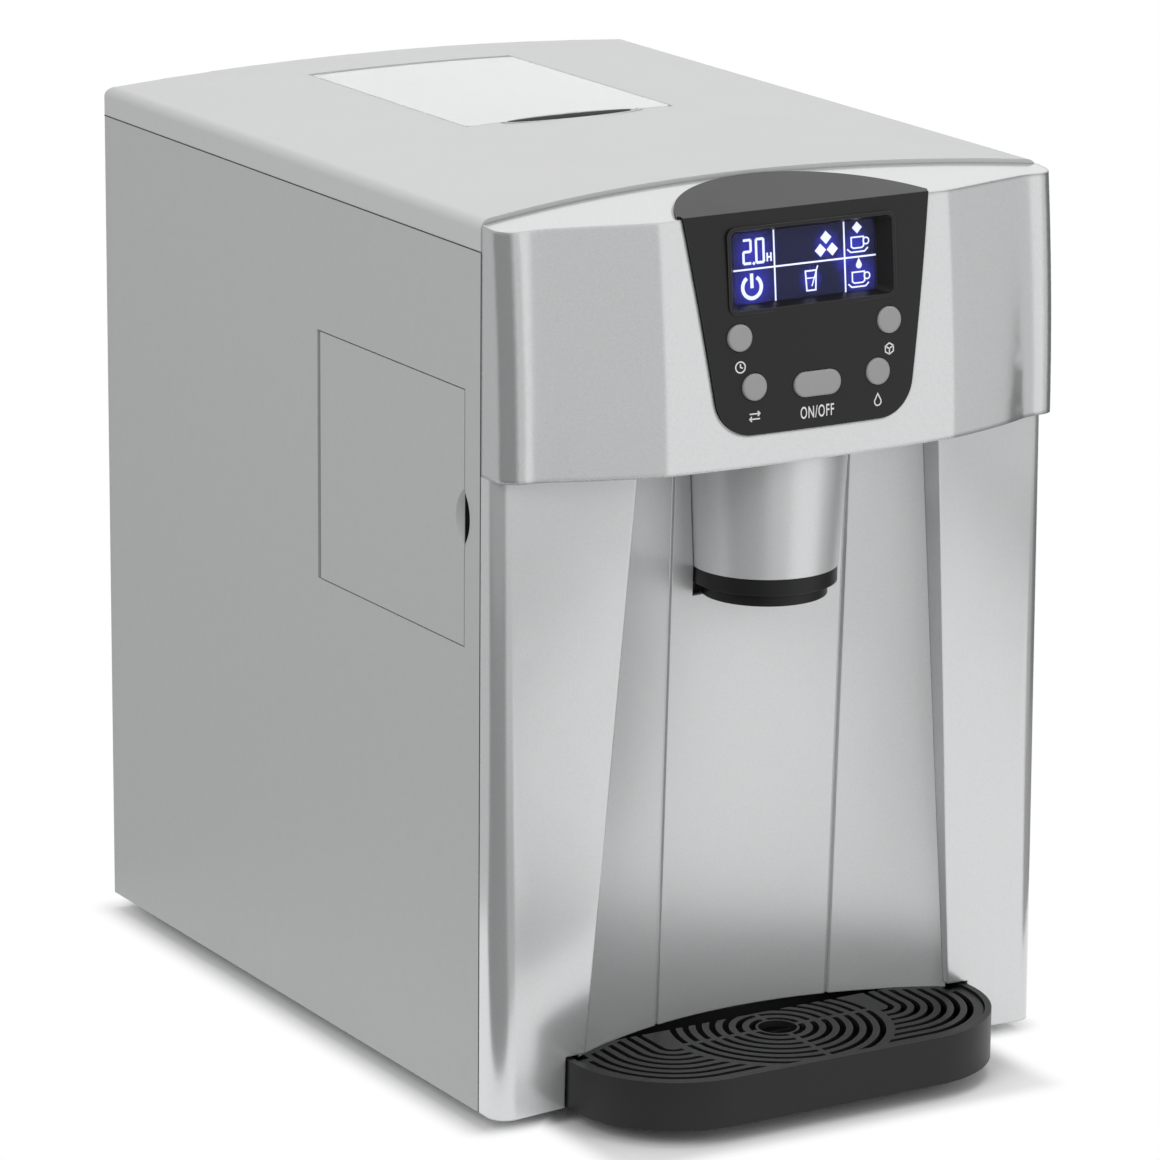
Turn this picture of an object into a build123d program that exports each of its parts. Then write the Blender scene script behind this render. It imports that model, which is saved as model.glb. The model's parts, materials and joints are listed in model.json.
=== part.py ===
from build123d import *
import math
import os

# A free-standing ice maker with an ice and water dispenser on its front.
# +X is the viewer's right, the front faces -Y, and +Z is up. All sizes are in millimetres.
# Heights are measured from the body's underside and depths from the front seam,
# the plane where the side panels end and the moulded front begins.

# Body
body_width = 290.0
body_depth = 365.0
lid_edge_height = 406.0
lid_skirt = 14.0
crown_rise = 5.5
foot_height = 8.0
tray_reach = 71.5
inlet_stand = 4.0
panel_wall = 1.6
flange_width = 12.0
sheet_gap = 0.3
seam_gap = 0.5
cut_overrun = 6.0

# Running fits and small clearances
pin_gap = 0.05
slide_gap = 0.4
seat_gap = 0.3

# Base pan and feet
pan_wall = 2.0
pan_rim_height = 14.0
pan_notch_depth = 9.0
foot_radius = 12.0
foot_top_radius = 10.0
foot_side_inset = 30.0
foot_front_inset = 45.0
foot_rear_inset = 40.0
foot_screw_radius = 2.5
foot_recess_depth = 3.0
foot_recess_radius = 5.0

# Side door in the left panel
door_front_depth = 14.2
door_length = 134.8
door_low = 213.0
door_height = 115.4
door_gap = 0.6
door_plate = 2.2
door_barrel_radius = 3.0
door_pin_radius = 1.25
door_pin_length = 9.0
door_pin_seat = 4.0
door_lug_height = 6.0
door_lug_reach = 9.0
door_boss_depth = 4.0
door_boss_width = 12.0
notch_half_height = 13.5
notch_panel_bite = 7.0
notch_dish_width = 7.5
notch_dish_depth = 4.0
notch_dish_slope = 30.0

# Pocket behind the door and the filter that it holds
pocket_wall = 1.5
pocket_depth = 29.0
pocket_rim = 4.0
filter_radius = 11.0
filter_length = 92.0
filter_cap_radius = 12.0
filter_cap_length = 9.0
filter_neck_radius = 5.0
clip_width = 9.0
clip_wall = 1.5
clip_span_share = 0.62

# Vents
vent_slot_height = 4.0
vent_pitch = 9.0
vent_slot_length = 72.0
vent_column_gap = 12.0
vent_low = 24.0
vent_rows = 12
rear_vent_centre_x = -56.0
rear_vent_rows = 12

# Top cover, its window and the finger scoop
lid_wall = 3.0
lid_edge_round = 5.0
seam_bow = 18.0
window_half_width = 55.3
window_front_depth = 170.4
window_length = 153.0
window_wall = 3.0
window_gap = 0.6
window_hinge_gap = 1.2
window_corner = 4.0
window_barrel_radius = 3.0
window_pin_radius = 1.25
window_pin_length = 9.0
window_pin_seat = 4.5
window_ledge = 7.0
window_ledge_wall = 2.5
well_wall = 2.0
scoop_half_width = 36.0
scoop_forward = 7.5
scoop_backward = 4.5
scoop_depth = 5.5
scoop_share = 0.85
scoop_boss_wall = 2.0

# Console, the silver moulding that carries the controls
console_over_auger = 12.0
console_over_lid = 8.0
console_wall = 2.6
console_bulge = 1.75
console_corner = 10.0
crease_inset = 70.0
shoulder_inset = 45.0
flank_inset = 27.0
console_low_reaches = (44.0, 41.0, 34.2, 27.4, 22.8)
console_high_reaches = (32.9, 29.8, 23.0, 17.9, 15.1)
wing_slope = 0.22
roof_drop = 1.4
roof_slope = 0.1
roof_crown = 4.0

# Fascia, display and buttons
fascia_proud = 1.2
fascia_depth = 1.4
fascia_fit = 0.15
fascia_top_half = 65.0
fascia_low_half = 48.8
fascia_low_drop = 106.5
fascia_corner = 18.0
fascia_arc_reach = 15.0
fascia_arc_front = 30.0
control_tilt = 5.5
control_wall = 5.2
display_half_width = 42.0
display_half_height = 17.5
display_drop = 34.0
display_corner = 2.5
display_depth = 6.5
display_back_half_width = 37.0
display_back_half_height = 15.6
display_frame_wall = 1.6
lens_wall = 1.2
lens_border = 1.4
module_wall = 5.0
button_radius = 6.0
button_proud = 1.3
button_flange = 1.2
button_flange_wall = 1.0
button_travel = 1.2
button_round = 0.6
button_hole_gap = 0.35
button_high_drop = 63.0
button_high_x = 38.8
button_low_drop = 85.2
button_low_x = 32.1
power_drop = 86.8
power_half_length = 12.0
power_half_height = 5.6
stem_radius = 2.0
board_wall = 1.6
board_half_width = 52.0
board_low_drop = 102.0
board_high_drop = 15.0
switch_side = 6.0
switch_height = 2.6
plunger_radius = 1.6
plunger_height = 0.9
post_radius = 2.4
post_places = ((47.0, 76.0), (18.0, 98.0))

# Lower front moulding with its two pillars and the dispensing alcove
front_wall = 3.0
pillar_corner_low = 18.0
pillar_corner_high = 12.0
pillar_edge_low = 12.8
pillar_edge_high = 23.0
pillar_round = 9.0
mouth_low_inset = 45.5
mouth_high_inset = 66.3
mouth_lip = 2.5
alcove_radius = 208.0
alcove_depth_low = 15.8
alcove_depth_high = 5.4
alcove_wall = 2.5
alcove_side_gap = 0.5
groove_x = 46.0
groove_width = 2.0
groove_depth = 1.3
tray_side_gap = 0.8
tray_slot_height = 24.0
liner_foot_height = 21.2
band_height = 14.0

# Dispensing chute
chute_depth = -3.0
chute_top_radius = 37.0
chute_low_radius = 33.2
chute_height = 56.0
chute_wall = 2.6
collar_radius = 32.8
collar_bore = 26.0
collar_wall = 7.5
nozzle_radius = 28.5
nozzle_bore = 21.0
nozzle_wall = 6.0
guide_half = 20.0
guide_wall = 2.0
guide_foot_gap = 0.4
guide_rise = 25.0
flap_wall = 1.8
flap_side_gap = 0.4
flap_rise = 21.0
flap_pin_radius = 1.5
flap_barrel_radius = 2.6
spout_radius = 3.0
spout_wall = 0.8
spout_depth = -27.8
spout_tip_rise = 2.5
spout_over_console = 4.5

# Drip tray and its grille
tray_inset = 37.5
tray_corner = 52.0
tray_height = 23.0
tray_wall = 3.0
tray_floor = 2.0
tray_rear_depth = 20.0
tray_rear_height = 20.0
grille_wall = 3.0
grille_drop = 1.2
grille_ledge = 2.2
grille_ledge_wall = 2.0
grille_gap = 0.6
grille_lift_room = 1.2
grille_mouth_room = 3.2
grille_centre_reach = 20.5
grille_hole = 9.0
ring_first = 13.0
ring_pitch = 6.1
ring_slot = 3.0
ring_count = 7
ring_zone = 53.5
wing_slot_first = 4.5
wing_slot_count = 7
spoke_width = 2.4
grille_border = 3.0

# Ice chamber, its foam and the ice bin
tub_side_room = 43.4
tub_front_depth = 22.0
tub_rear_room = 35.0
tub_low = 170.0
tub_top_gap = 4.0
tub_wall = 2.5
foam_wall = 12.0
cover_wall = 3.0
cover_side_inset = 1.0
bin_side_room = 6.0
bin_rear_room = 86.0
bin_front_gap = 1.5
bin_floor_rise = 11.0
bin_rim_rise = 4.0
bin_rear_lip = 11.0
bin_wall = 2.5
bin_ledge = 5.0
auger_drop = 81.0
auger_radius = 16.5
trough_radius = 18.5
auger_shaft_radius = 4.0
auger_wire_wall = 2.4
auger_turns = 6
auger_front_depth = 2.0
bearing_radius = 7.0
bearing_flange = 2.5
spoke_share = 0.8
trough_mouth_angle = 20.0

# Auger drive
gear_module = 1.0
gear_teeth = 30
pinion_teeth = 12
gear_width = 6.0
gear_gap = 0.8
pressure_angle = 25.0
tooth_addendum_share = 0.8
tooth_dedendum_share = 1.15
tooth_backlash = 0.3
flank_steps = 4
tooth_detail = 0.02
motor_shaft_length = 16.0
drive_plate_rise = 17.0
motor_radius = 17.0
motor_length = 34.0
motor_shaft_radius = 2.5
drive_plate_wall = 2.0
drive_plate_half = 40.0
drive_post_places = ((20.5, 12.0), (36.0, 5.0))
drive_post_radius = 3.0

# Freezing unit
evaporator_end_room = 44.0
evaporator_half_width = 22.0
evaporator_wall = 8.0
evaporator_rear_room = 80.0
finger_radius = 4.5
finger_length = 27.0
finger_rows = 2
finger_pitch = 18.0
strap_wall = 2.0
strap_half_width = 26.0
cheek_gap = 4.0
cheek_half_width = 11.0
pivot_rear_room = 47.0
pivot_drop = 26.0
pivot_radius = 3.0
cup_end_room = 6.0
cup_front = 57.0
cup_rear = 6.0
cup_high = 6.0
cup_low = 19.0
cup_wall = 2.0
rake_radius = 63.0
rake_tine_width = 5.0
rake_wall = 2.0
rake_pitch = 12.0
rake_angle = 38.0
tilt_pin_reach = 8.0
slide_radius = 65.0
slide_wall = 2.0
slide_front_angle = 36.0
slide_rear_angle = 40.0
tilt_motor_length = 22.0
tilt_motor_radius = 14.0

# Cooling circuit and air path
compressor_side_gap = 24.4
compressor_rear_room = 97.0
compressor_radius = 55.0
compressor_low = 20.0
compressor_height = 128.0
compressor_round = 22.0
compressor_seam = 1.2
compressor_foot_reach = 68.0
compressor_foot_width = 26.0
compressor_foot_wall = 3.0
compressor_arm_angle = 45.0
grommet_radius = 8.0
grommet_height = 15.0
condenser_side_gap = 14.4
condenser_half_thick = 17.0
condenser_half_length = 92.0
condenser_rear_room = 120.0
condenser_low = 12.0
condenser_height = 120.0
fin_wall = 1.6
fin_pitch = 7.4
fin_tube_radius = 4.0
fin_tube_rows = 4
fin_tube_reach = 12.0
fin_tube_bend = 8.0
fan_shroud_wall = 2.0
fan_ring_depth = 18.0
fan_opening = 52.0
fan_radius = 49.0
fan_blade_wall = 1.8
fan_blades = 5
fan_arms = 3
blade_pitch = 55.0
blade_width_share = 1.1
fan_shaft_reach = 8.0
fan_hub_radius = 15.0
fan_depth = 14.0
fan_gap = 2.0
fan_motor_radius = 19.0
fan_motor_length = 24.0
fan_arm_width = 9.0
pipe_radius = 3.0
pipe_bend = 6.0
evaporator_line_x = 20.0
suction_drop = 18.0
drier_radius = 8.0
drier_length = 60.0

# Water and electrics
pump_radius = 18.0
pump_length = 46.0
pump_base_wall = 3.0
pump_depth = 84.0
dispense_pump_x = 46.0
fill_pump_x = -30.0
hose_radius = 3.5
hose_bend = 7.0
pipe_wall = 1.0
pipe_rear_gap = 13.0
tank_drain_depth = 190.0
pump_round = 2.0
circuit_wall = 1.6
circuit_length = 96.0
circuit_height = 104.0
circuit_depth = 36.0
circuit_low = 24.0
standoff_length = 7.0
component_corner_shares = ((0.1, 0.12), (0.45, 0.12), (0.15, 0.68), (0.62, 0.62))
component_sizes = ((9.0, 22.0, 16.0), (9.0, 18.0, 14.0), (8.0, 26.0, 20.0), (7.0, 12.0, 26.0))
capacitor_shares = (0.3, 0.55)
capacitor_radius = 6.0
capacitor_length = 9.0
inlet_width = 50.0
inlet_height = 24.0
inlet_side_gap = 32.0
inlet_low = 30.0
inlet_flange = 4.0
inlet_body_length = 18.0
inlet_socket_half_width = 12.0
inlet_socket_half_height = 5.5
inlet_socket_depth = 12.0
blade_half_width = 2.5
blade_half_height = 1.0
blade_pitch_x = 7.0
drain_x = 30.0
drain_low = 26.0
drain_radius = 6.0
drain_wall = 1.5
drain_length = 24.0
drain_plug_flange = 9.0
drain_plug_head = 3.0
drain_plug_length = 18.0
screw_shank_radius = 1.5
screw_inset = 8.0
screw_low = 60.0
screw_top_drop = 22.0

# Planes, widths and depths that follow from the body's width and depth
front_seam = -(body_depth + inlet_stand - tray_reach) / 2
back_face = front_seam + body_depth
underside = foot_height
half_width = body_width / 2
inner_half = half_width - panel_wall
crease_x = half_width - crease_inset
shoulder_x = half_width - shoulder_inset
flank_x = half_width - flank_inset
mouth_half_low = half_width - mouth_low_inset
mouth_half_high = half_width - mouth_high_inset
alcove_half_width = mouth_half_low - alcove_side_gap
tray_half_width = half_width - tray_inset
tray_slot_half = tray_half_width + tray_side_gap
tub_half_width = inner_half - tub_side_room
bin_half_width = tub_half_width - bin_side_room
evaporator_half_length = tub_half_width - evaporator_end_room
finger_columns = int(evaporator_half_length * 2 / finger_pitch)
cup_half_length = evaporator_half_length + cup_end_room
rake_tines = int(cup_half_length * 2 / rake_pitch) - 1
cheek_x = cup_half_length + cheek_gap
compressor_x = compressor_side_gap + compressor_radius - inner_half
condenser_x = inner_half - condenser_side_gap - condenser_half_thick
inlet_x = half_width - inlet_side_gap - inlet_width / 2
tub_rear_depth = body_depth - tub_rear_room
bin_rear_depth = tub_rear_depth - bin_rear_room
evaporator_depth = tub_rear_depth - evaporator_rear_room
pivot_depth = tub_rear_depth - pivot_rear_room
compressor_depth = body_depth - compressor_rear_room
condenser_depth = body_depth - condenser_rear_room

# Heights that follow from the height of the top cover's edge
side_height = lid_edge_height - lid_skirt
console_top_level = lid_edge_height + console_over_lid
roof_front_height = lid_edge_height - roof_drop
fascia_low = console_top_level - fascia_low_drop
display_height = console_top_level - display_drop
button_high = console_top_level - button_high_drop
button_low = console_top_level - button_low_drop
power_height = console_top_level - power_drop
board_low = console_top_level - board_low_drop
board_high = console_top_level - board_high_drop
tub_high = side_height - tub_top_gap
pivot_height = tub_high - pivot_drop
auger_height = pivot_height - auger_drop
console_low = auger_height + console_over_auger
drive_plate_high = auger_height + drive_plate_rise
bin_floor = auger_height + bin_floor_rise
bin_rear_high = bin_floor + bin_rear_lip
bin_high = pivot_height + bin_rim_rise
chute_low = console_low - chute_height
collar_low = chute_low - collar_wall
nozzle_low = collar_low - nozzle_wall
guide_low = chute_low + guide_foot_gap
guide_high = auger_height + guide_rise
flap_height = chute_low + flap_rise
spout_low = nozzle_low + spout_tip_rise
spout_high = console_low + spout_over_console
screw_high = side_height - screw_top_drop
screw_heights = (screw_low, (screw_low + screw_high) / 2, screw_high)

# Angles
full_turn = 360.0
quarter_turn = full_turn / 4

# Solids that stand on the place they are given
upright = (Align.CENTER, Align.CENTER, Align.MIN)


def level(height):
    """The z of a height over the body's underside."""
    return underside + height


def back(depth):
    """The y of a depth behind the front seam."""
    return front_seam + depth


def block(x_span, y_span, z_span, mode=Mode.ADD):
    """Add or cut a box, given by its lowest and highest x, y and z."""
    spans = (x_span, y_span, z_span)
    middle = tuple((low + high) / 2 for low, high in spans)
    sides = tuple(high - low for low, high in spans)
    with Locations(middle):
        Box(*sides, mode=mode)


def rod(start, direction, radius, length, mode=Mode.ADD):
    """Add or cut a cylinder that starts at a point and runs along a direction."""
    with Locations(Plane(origin=start, z_dir=direction)):
        Cylinder(radius, length, align=upright, mode=mode)


def tube(points, radius, bend, mode=Mode.ADD):
    """Add or cut a round tube that runs through some points with rounded bends."""
    with BuildLine() as path:
        FilletPolyline(*points, radius=bend)
    with BuildSketch(Plane(origin=path.line @ 0, z_dir=path.line % 0)) as profile:
        Circle(radius)
    sweep(sections=profile.sketch, path=path.line, mode=mode)


os.makedirs("parts", exist_ok=True)

# Base pan: a tray of sheet that everything stands on
pan_half = inner_half - sheet_gap
pan_rear = back_face - panel_wall - sheet_gap
foot_xs = (-half_width + foot_side_inset, half_width - foot_side_inset)
foot_ys = (back(foot_front_inset), back_face - foot_rear_inset)
foot_places = [(x, y) for x in foot_xs for y in foot_ys]
with BuildPart() as base_pan:
    block((-pan_half, pan_half), (back(sheet_gap), pan_rear), (underside, underside + pan_rim_height))
    block(
        (-pan_half + pan_wall, pan_half - pan_wall),
        (back(sheet_gap) - cut_overrun, pan_rear - pan_wall),
        (underside + pan_wall, underside + pan_rim_height + cut_overrun),
        Mode.SUBTRACT,
    )
    block(
        (-tray_slot_half, tray_slot_half),
        (back(sheet_gap) - cut_overrun, back(pan_notch_depth)),
        (underside - cut_overrun, underside + pan_rim_height),
        Mode.SUBTRACT,
    )
    with Locations(*[(x, y, underside + pan_wall) for x, y in foot_places]):
        Hole(foot_screw_radius)
    with Locations((drain_x + tub_half_width / 2, back(condenser_depth), underside + pan_wall)):
        with GridLocations(vent_pitch, vent_slot_length + vent_column_gap, vent_rows // 2, 2):
            Box(vent_slot_height, vent_slot_length, pan_wall * 4, mode=Mode.SUBTRACT)
base_pan.part.label = "base_pan"
export_step(base_pan.part, "parts/base_pan.step")

# Feet: four rubber pads, each with a recess for its screw
with BuildPart() as feet:
    for x, y in foot_places:
        with BuildSketch(Plane.XY):
            with Locations((x, y)):
                Circle(foot_top_radius)
        with BuildSketch(Plane.XY.offset(foot_height)):
            with Locations((x, y)):
                Circle(foot_radius)
        loft()
    for x, y in foot_places:
        rod((x, y, 0), (0, 0, 1), foot_recess_radius, foot_recess_depth, Mode.SUBTRACT)
        rod((x, y, 0), (0, 0, 1), foot_screw_radius, foot_height, Mode.SUBTRACT)
feet.part.label = "feet"
export_step(feet.part, "parts/feet.step")

# Side panels: flat sheets with flanges turned in at the front, top and rear
door_rear_depth = door_front_depth + door_length
door_high = door_low + door_height
panel_rear = back_face - panel_wall
barrel_x = -half_width + door_barrel_radius
barrel_y = back(door_rear_depth) - door_barrel_radius
notch_z = level(door_low + door_height / 2)
notch_radius = (notch_half_height**2 + notch_panel_bite**2) / (2 * notch_panel_bite)


def side_panel(sign):
    """One side sheet; sign is -1 for the left side and 1 for the right."""
    outer = sign * half_width
    skin = sorted((outer, outer - sign * panel_wall))
    turned = sorted((outer, outer - sign * (panel_wall + flange_width)))
    block(skin, (front_seam, panel_rear), (underside, level(side_height)))
    top = (level(side_height) - panel_wall, level(side_height))
    block(turned, (front_seam, panel_rear), top)
    low = underside + pan_rim_height + sheet_gap
    block(turned, (front_seam, front_seam + panel_wall), (low, level(side_height)))
    block(turned, (panel_rear - panel_wall, panel_rear), (low, level(side_height)))
    for height in screw_heights:
        place = (sign * (half_width - screw_inset), panel_rear - panel_wall, level(height))
        rod(place, (0, 1, 0), screw_shank_radius, panel_wall, Mode.SUBTRACT)


with BuildPart() as left_panel:
    side_panel(-1)
    opening_y = (back(door_front_depth - door_gap), back(door_rear_depth + door_gap))
    opening_z = (level(door_low - door_gap), level(door_high + door_gap))
    block((-half_width - cut_overrun, -inner_half + cut_overrun), opening_y, opening_z, Mode.SUBTRACT)
    # Finger notch: a lens bitten out of the panel beside the door's front edge
    rod(
        (-half_width - cut_overrun, back(door_front_depth - notch_panel_bite) + notch_radius, notch_z),
        (1, 0, 0),
        notch_radius,
        cut_overrun + panel_wall,
        Mode.SUBTRACT,
    )
    # Lugs that carry the door's two pins
    for z in (opening_z[0] - door_lug_height, opening_z[1]):
        block(
            (-inner_half, -inner_half + door_lug_reach),
            (barrel_y - door_barrel_radius, barrel_y + door_barrel_radius),
            (z, z + door_lug_height),
        )
        rod((barrel_x, barrel_y, z), (0, 0, 1), door_pin_radius, door_lug_height, Mode.SUBTRACT)
left_panel.part.label = "left_panel"
export_step(left_panel.part, "parts/left_panel.step")

with BuildPart() as right_panel:
    side_panel(1)
    for row in range(vent_rows):
        z = level(vent_low + row * vent_pitch)
        for side in (-1, 1):
            y = back(condenser_depth) + side * (vent_slot_length + vent_column_gap) / 2
            block(
                (inner_half - cut_overrun, half_width + cut_overrun),
                (y - vent_slot_length / 2, y + vent_slot_length / 2),
                (z, z + vent_slot_height),
                Mode.SUBTRACT,
            )
right_panel.part.label = "right_panel"
export_step(right_panel.part, "parts/right_panel.step")

# Side door: a flush plate with a hinge barrel along its rear edge
door_front_y = back(door_front_depth)
with BuildPart() as side_door:
    block(
        (-half_width, -half_width + door_plate),
        (door_front_y, barrel_y),
        (level(door_low), level(door_high)),
    )
    rod((barrel_x, barrel_y, level(door_low)), (0, 0, 1), door_barrel_radius, door_height)
    boss_z = notch_half_height + door_boss_depth
    block(
        (-half_width + door_plate, -half_width + door_plate + door_boss_depth),
        (door_front_y, door_front_y + door_boss_width),
        (notch_z - boss_z, notch_z + boss_z),
    )
    # Finger dish: a spindle whose long axis stands just outside the plate
    with BuildSketch(Plane.YZ.offset(-half_width)):
        with BuildLine():
            ThreePointArc(
                (door_front_y, notch_z - notch_half_height),
                (door_front_y + notch_dish_width, notch_z),
                (door_front_y, notch_z + notch_half_height),
            )
            Line(
                (door_front_y, notch_z + notch_half_height),
                (door_front_y, notch_z - notch_half_height),
            )
        make_face()
    extrude(amount=notch_dish_depth, taper=notch_dish_slope, mode=Mode.SUBTRACT)
    for z, way in ((level(door_low), 1), (level(door_high), -1)):
        rod(
            (barrel_x, barrel_y, z),
            (0, 0, way),
            door_pin_radius + pin_gap,
            door_pin_length - door_pin_seat + seat_gap,
            Mode.SUBTRACT,
        )
side_door.part.label = "side_door"
export_step(side_door.part, "parts/side_door.step")

with BuildPart() as door_pins:
    for z, way in ((level(door_low), 1), (level(door_high), -1)):
        start = z - way * (door_pin_seat + door_gap)
        rod((barrel_x, barrel_y, start), (0, 0, way), door_pin_radius, door_pin_length)
door_pins.part.label = "door_pins"
export_step(door_pins.part, "parts/door_pins.step")

# Pocket behind the door, with two clips for the filter
pocket_y = (back(door_front_depth) + pocket_rim, barrel_y - door_barrel_radius - pocket_rim)
pocket_z = (level(door_low) + pocket_rim, level(door_high) - pocket_rim)
pocket_x = (-half_width + door_plate + door_boss_depth + seat_gap, -inner_half + pocket_depth)
filter_x = pocket_x[1] - pocket_wall - filter_cap_radius - seat_gap
filter_y = (pocket_y[0] + pocket_y[1]) / 2
filter_z = (pocket_z[0] + pocket_z[1]) / 2
with BuildPart() as side_pocket:
    block(pocket_x, pocket_y, pocket_z)
    block(
        (pocket_x[0] - cut_overrun, pocket_x[1] - pocket_wall),
        (pocket_y[0] + pocket_wall, pocket_y[1] - pocket_wall),
        (pocket_z[0] + pocket_wall, pocket_z[1] - pocket_wall),
        Mode.SUBTRACT,
    )
    # Tabs that reach to the panel's back, above and below the opening
    tab_y = (filter_y - clip_width, filter_y + clip_width)
    low_end = level(door_low - door_gap * 2)
    high_end = level(door_high + door_gap * 2)
    block((pocket_x[0], pocket_x[1]), tab_y, (low_end - door_lug_height, pocket_z[0]))
    block((pocket_x[0], pocket_x[1]), tab_y, (pocket_z[1], high_end + door_lug_height))
    block((-inner_half, pocket_x[0]), tab_y, (low_end - door_lug_height, low_end))
    block((-inner_half, pocket_x[0]), tab_y, (high_end, high_end + door_lug_height))
    for y in (filter_y - filter_length / 4, filter_y + filter_length / 4):
        clip = (y - clip_width / 2, y + clip_width / 2)
        reach = filter_radius * (1 + clip_span_share)
        outer = filter_radius + clip_wall + seat_gap
        block(
            (filter_x - filter_radius * clip_span_share, filter_x + reach),
            clip,
            (filter_z - outer, filter_z + outer),
        )
        rod(
            (filter_x, clip[0], filter_z), (0, 1, 0), filter_radius + seat_gap, clip_width, Mode.SUBTRACT
        )
        block(
            (filter_x - filter_radius, filter_x),
            clip,
            (filter_z - filter_radius * clip_span_share, filter_z + filter_radius * clip_span_share),
            Mode.SUBTRACT,
        )
        block(
            (pocket_x[1], pocket_x[1] + filter_radius),
            clip,
            (filter_z - outer, filter_z + outer),
            Mode.SUBTRACT,
        )
side_pocket.part.label = "side_pocket"
export_step(side_pocket.part, "parts/side_pocket.step")

with BuildPart() as water_filter:
    start = filter_y - filter_length / 2
    rod((filter_x, start, filter_z), (0, 1, 0), filter_radius, filter_length)
    rod((filter_x, start, filter_z), (0, 1, 0), filter_cap_radius - seat_gap, filter_cap_length)
    end = start + filter_length - filter_cap_length
    rod((filter_x, end, filter_z), (0, 1, 0), filter_cap_radius - seat_gap, filter_cap_length)
    neck_start = start - filter_cap_length / 2
    rod((filter_x, neck_start, filter_z), (0, 1, 0), filter_neck_radius, filter_length + filter_cap_length)
water_filter.part.label = "water_filter"
export_step(water_filter.part, "parts/water_filter.step")

# Rear panel: a flat sheet with vents, the inlet's opening and the drain's hole
inlet_half = inlet_width / 2
inlet_body_half = inlet_half - inlet_flange
inlet_z = (level(inlet_low), level(inlet_low + inlet_height))
screw_places = [
    (side * (half_width - screw_inset), level(height)) for side in (-1, 1) for height in screw_heights
]
with BuildPart() as rear_panel:
    block((-half_width, half_width), (panel_rear, back_face), (underside, level(side_height)))
    for row in range(rear_vent_rows):
        z = level(vent_low + row * vent_pitch)
        block(
            (rear_vent_centre_x - vent_slot_length / 2, rear_vent_centre_x + vent_slot_length / 2),
            (panel_rear - cut_overrun, back_face + cut_overrun),
            (z, z + vent_slot_height),
            Mode.SUBTRACT,
        )
    block(
        (inlet_x - inlet_body_half, inlet_x + inlet_body_half),
        (panel_rear - cut_overrun, back_face + cut_overrun),
        (inlet_z[0] + inlet_flange, inlet_z[1] - inlet_flange),
        Mode.SUBTRACT,
    )
    rod((drain_x, panel_rear, level(drain_low)), (0, 1, 0), drain_radius, panel_wall, Mode.SUBTRACT)
    for x, z in screw_places:
        rod((x, panel_rear, z), (0, 1, 0), screw_shank_radius, panel_wall, Mode.SUBTRACT)
rear_panel.part.label = "rear_panel"
export_step(rear_panel.part, "parts/rear_panel.step")

# Forms that the top cover and its window share
crown_radius = (half_width**2 + crown_rise**2) / (2 * crown_rise)
crown_centre = level(lid_edge_height + crown_rise) - crown_radius
seam_radius = (half_width**2 + seam_bow**2) / (2 * seam_bow)


def crown(x):
    """The height of the top's arched surface at a distance from the middle."""
    return crown_centre + math.sqrt(crown_radius**2 - x**2)


def under_crown(drop, x_span, y_span, low):
    """A solid whose top follows the crown, lowered by a drop, and whose base lies at low."""
    x_low, x_high = x_span
    x_middle = (x_low + x_high) / 2
    with BuildPart() as solid:
        with BuildSketch(Plane.XZ.offset(-y_span[1])):
            with BuildLine():
                ThreePointArc(
                    (x_low, crown(x_low) - drop),
                    (x_middle, crown(x_middle) - drop),
                    (x_high, crown(x_high) - drop),
                )
                Polyline(
                    (x_high, crown(x_high) - drop),
                    (x_high, low),
                    (x_low, low),
                    (x_low, crown(x_low) - drop),
                )
            make_face()
        extrude(amount=y_span[1] - y_span[0])
    return solid.part


def before_seam(shift):
    """Everything in front of the arched seam between the top cover and the console."""
    side = half_width + cut_overrun
    front = back(-tray_reach)
    end = back(seam_bow + shift) - seam_radius + math.sqrt(seam_radius**2 - side**2)
    with BuildPart() as region:
        with BuildSketch(Plane.XY):
            with BuildLine():
                ThreePointArc((-side, end), (0, back(seam_bow + shift)), (side, end))
                Polyline((side, end), (side, front), (-side, front), (-side, end))
            make_face()
        extrude(amount=console_top_level * 2)
    return region.part


def lid_form(inset):
    """The top cover's outer form, moved inwards."""
    side = half_width - inset
    low = level(side_height) - inset
    span = (back(-cut_overrun), back_face - inset)
    with BuildPart() as form:
        add(under_crown(inset, (-side, side), span, low))
        rear_high = form.edges().group_by(Axis.Y)[-1].group_by(Axis.Z)[-1]
        sides_high = form.edges().filter_by(Axis.Y).group_by(Axis.Z)[-1]
        fillet(rear_high + sides_high, lid_edge_round - inset)
        add(before_seam(seam_gap / 2 + inset), mode=Mode.SUBTRACT)
    return form.part


# Top cover: an arched lid with a framed well over the ice chamber
window_front_y = back(window_front_depth)
window_rear_y = window_front_y + window_length
window_axis_y = window_rear_y - window_barrel_radius
window_axis_z = crown(window_half_width) - window_barrel_radius
opening_half = window_half_width + window_gap
ledge_drop = window_wall + seat_gap
well_half = window_half_width - window_ledge
well_low = level(tub_high) + cover_wall
channel_rear = window_rear_y + window_hinge_gap
channel_front = window_axis_y - window_barrel_radius - window_hinge_gap
channel_low = window_axis_z - window_barrel_radius - window_gap
channel_end = window_half_width + window_gap + window_pin_seat
scoop_y = window_front_y - (scoop_forward - scoop_backward) / 2
scoop_half_depth = (scoop_forward + scoop_backward) / 2
scoop_low = crown(0) - scoop_depth


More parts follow.
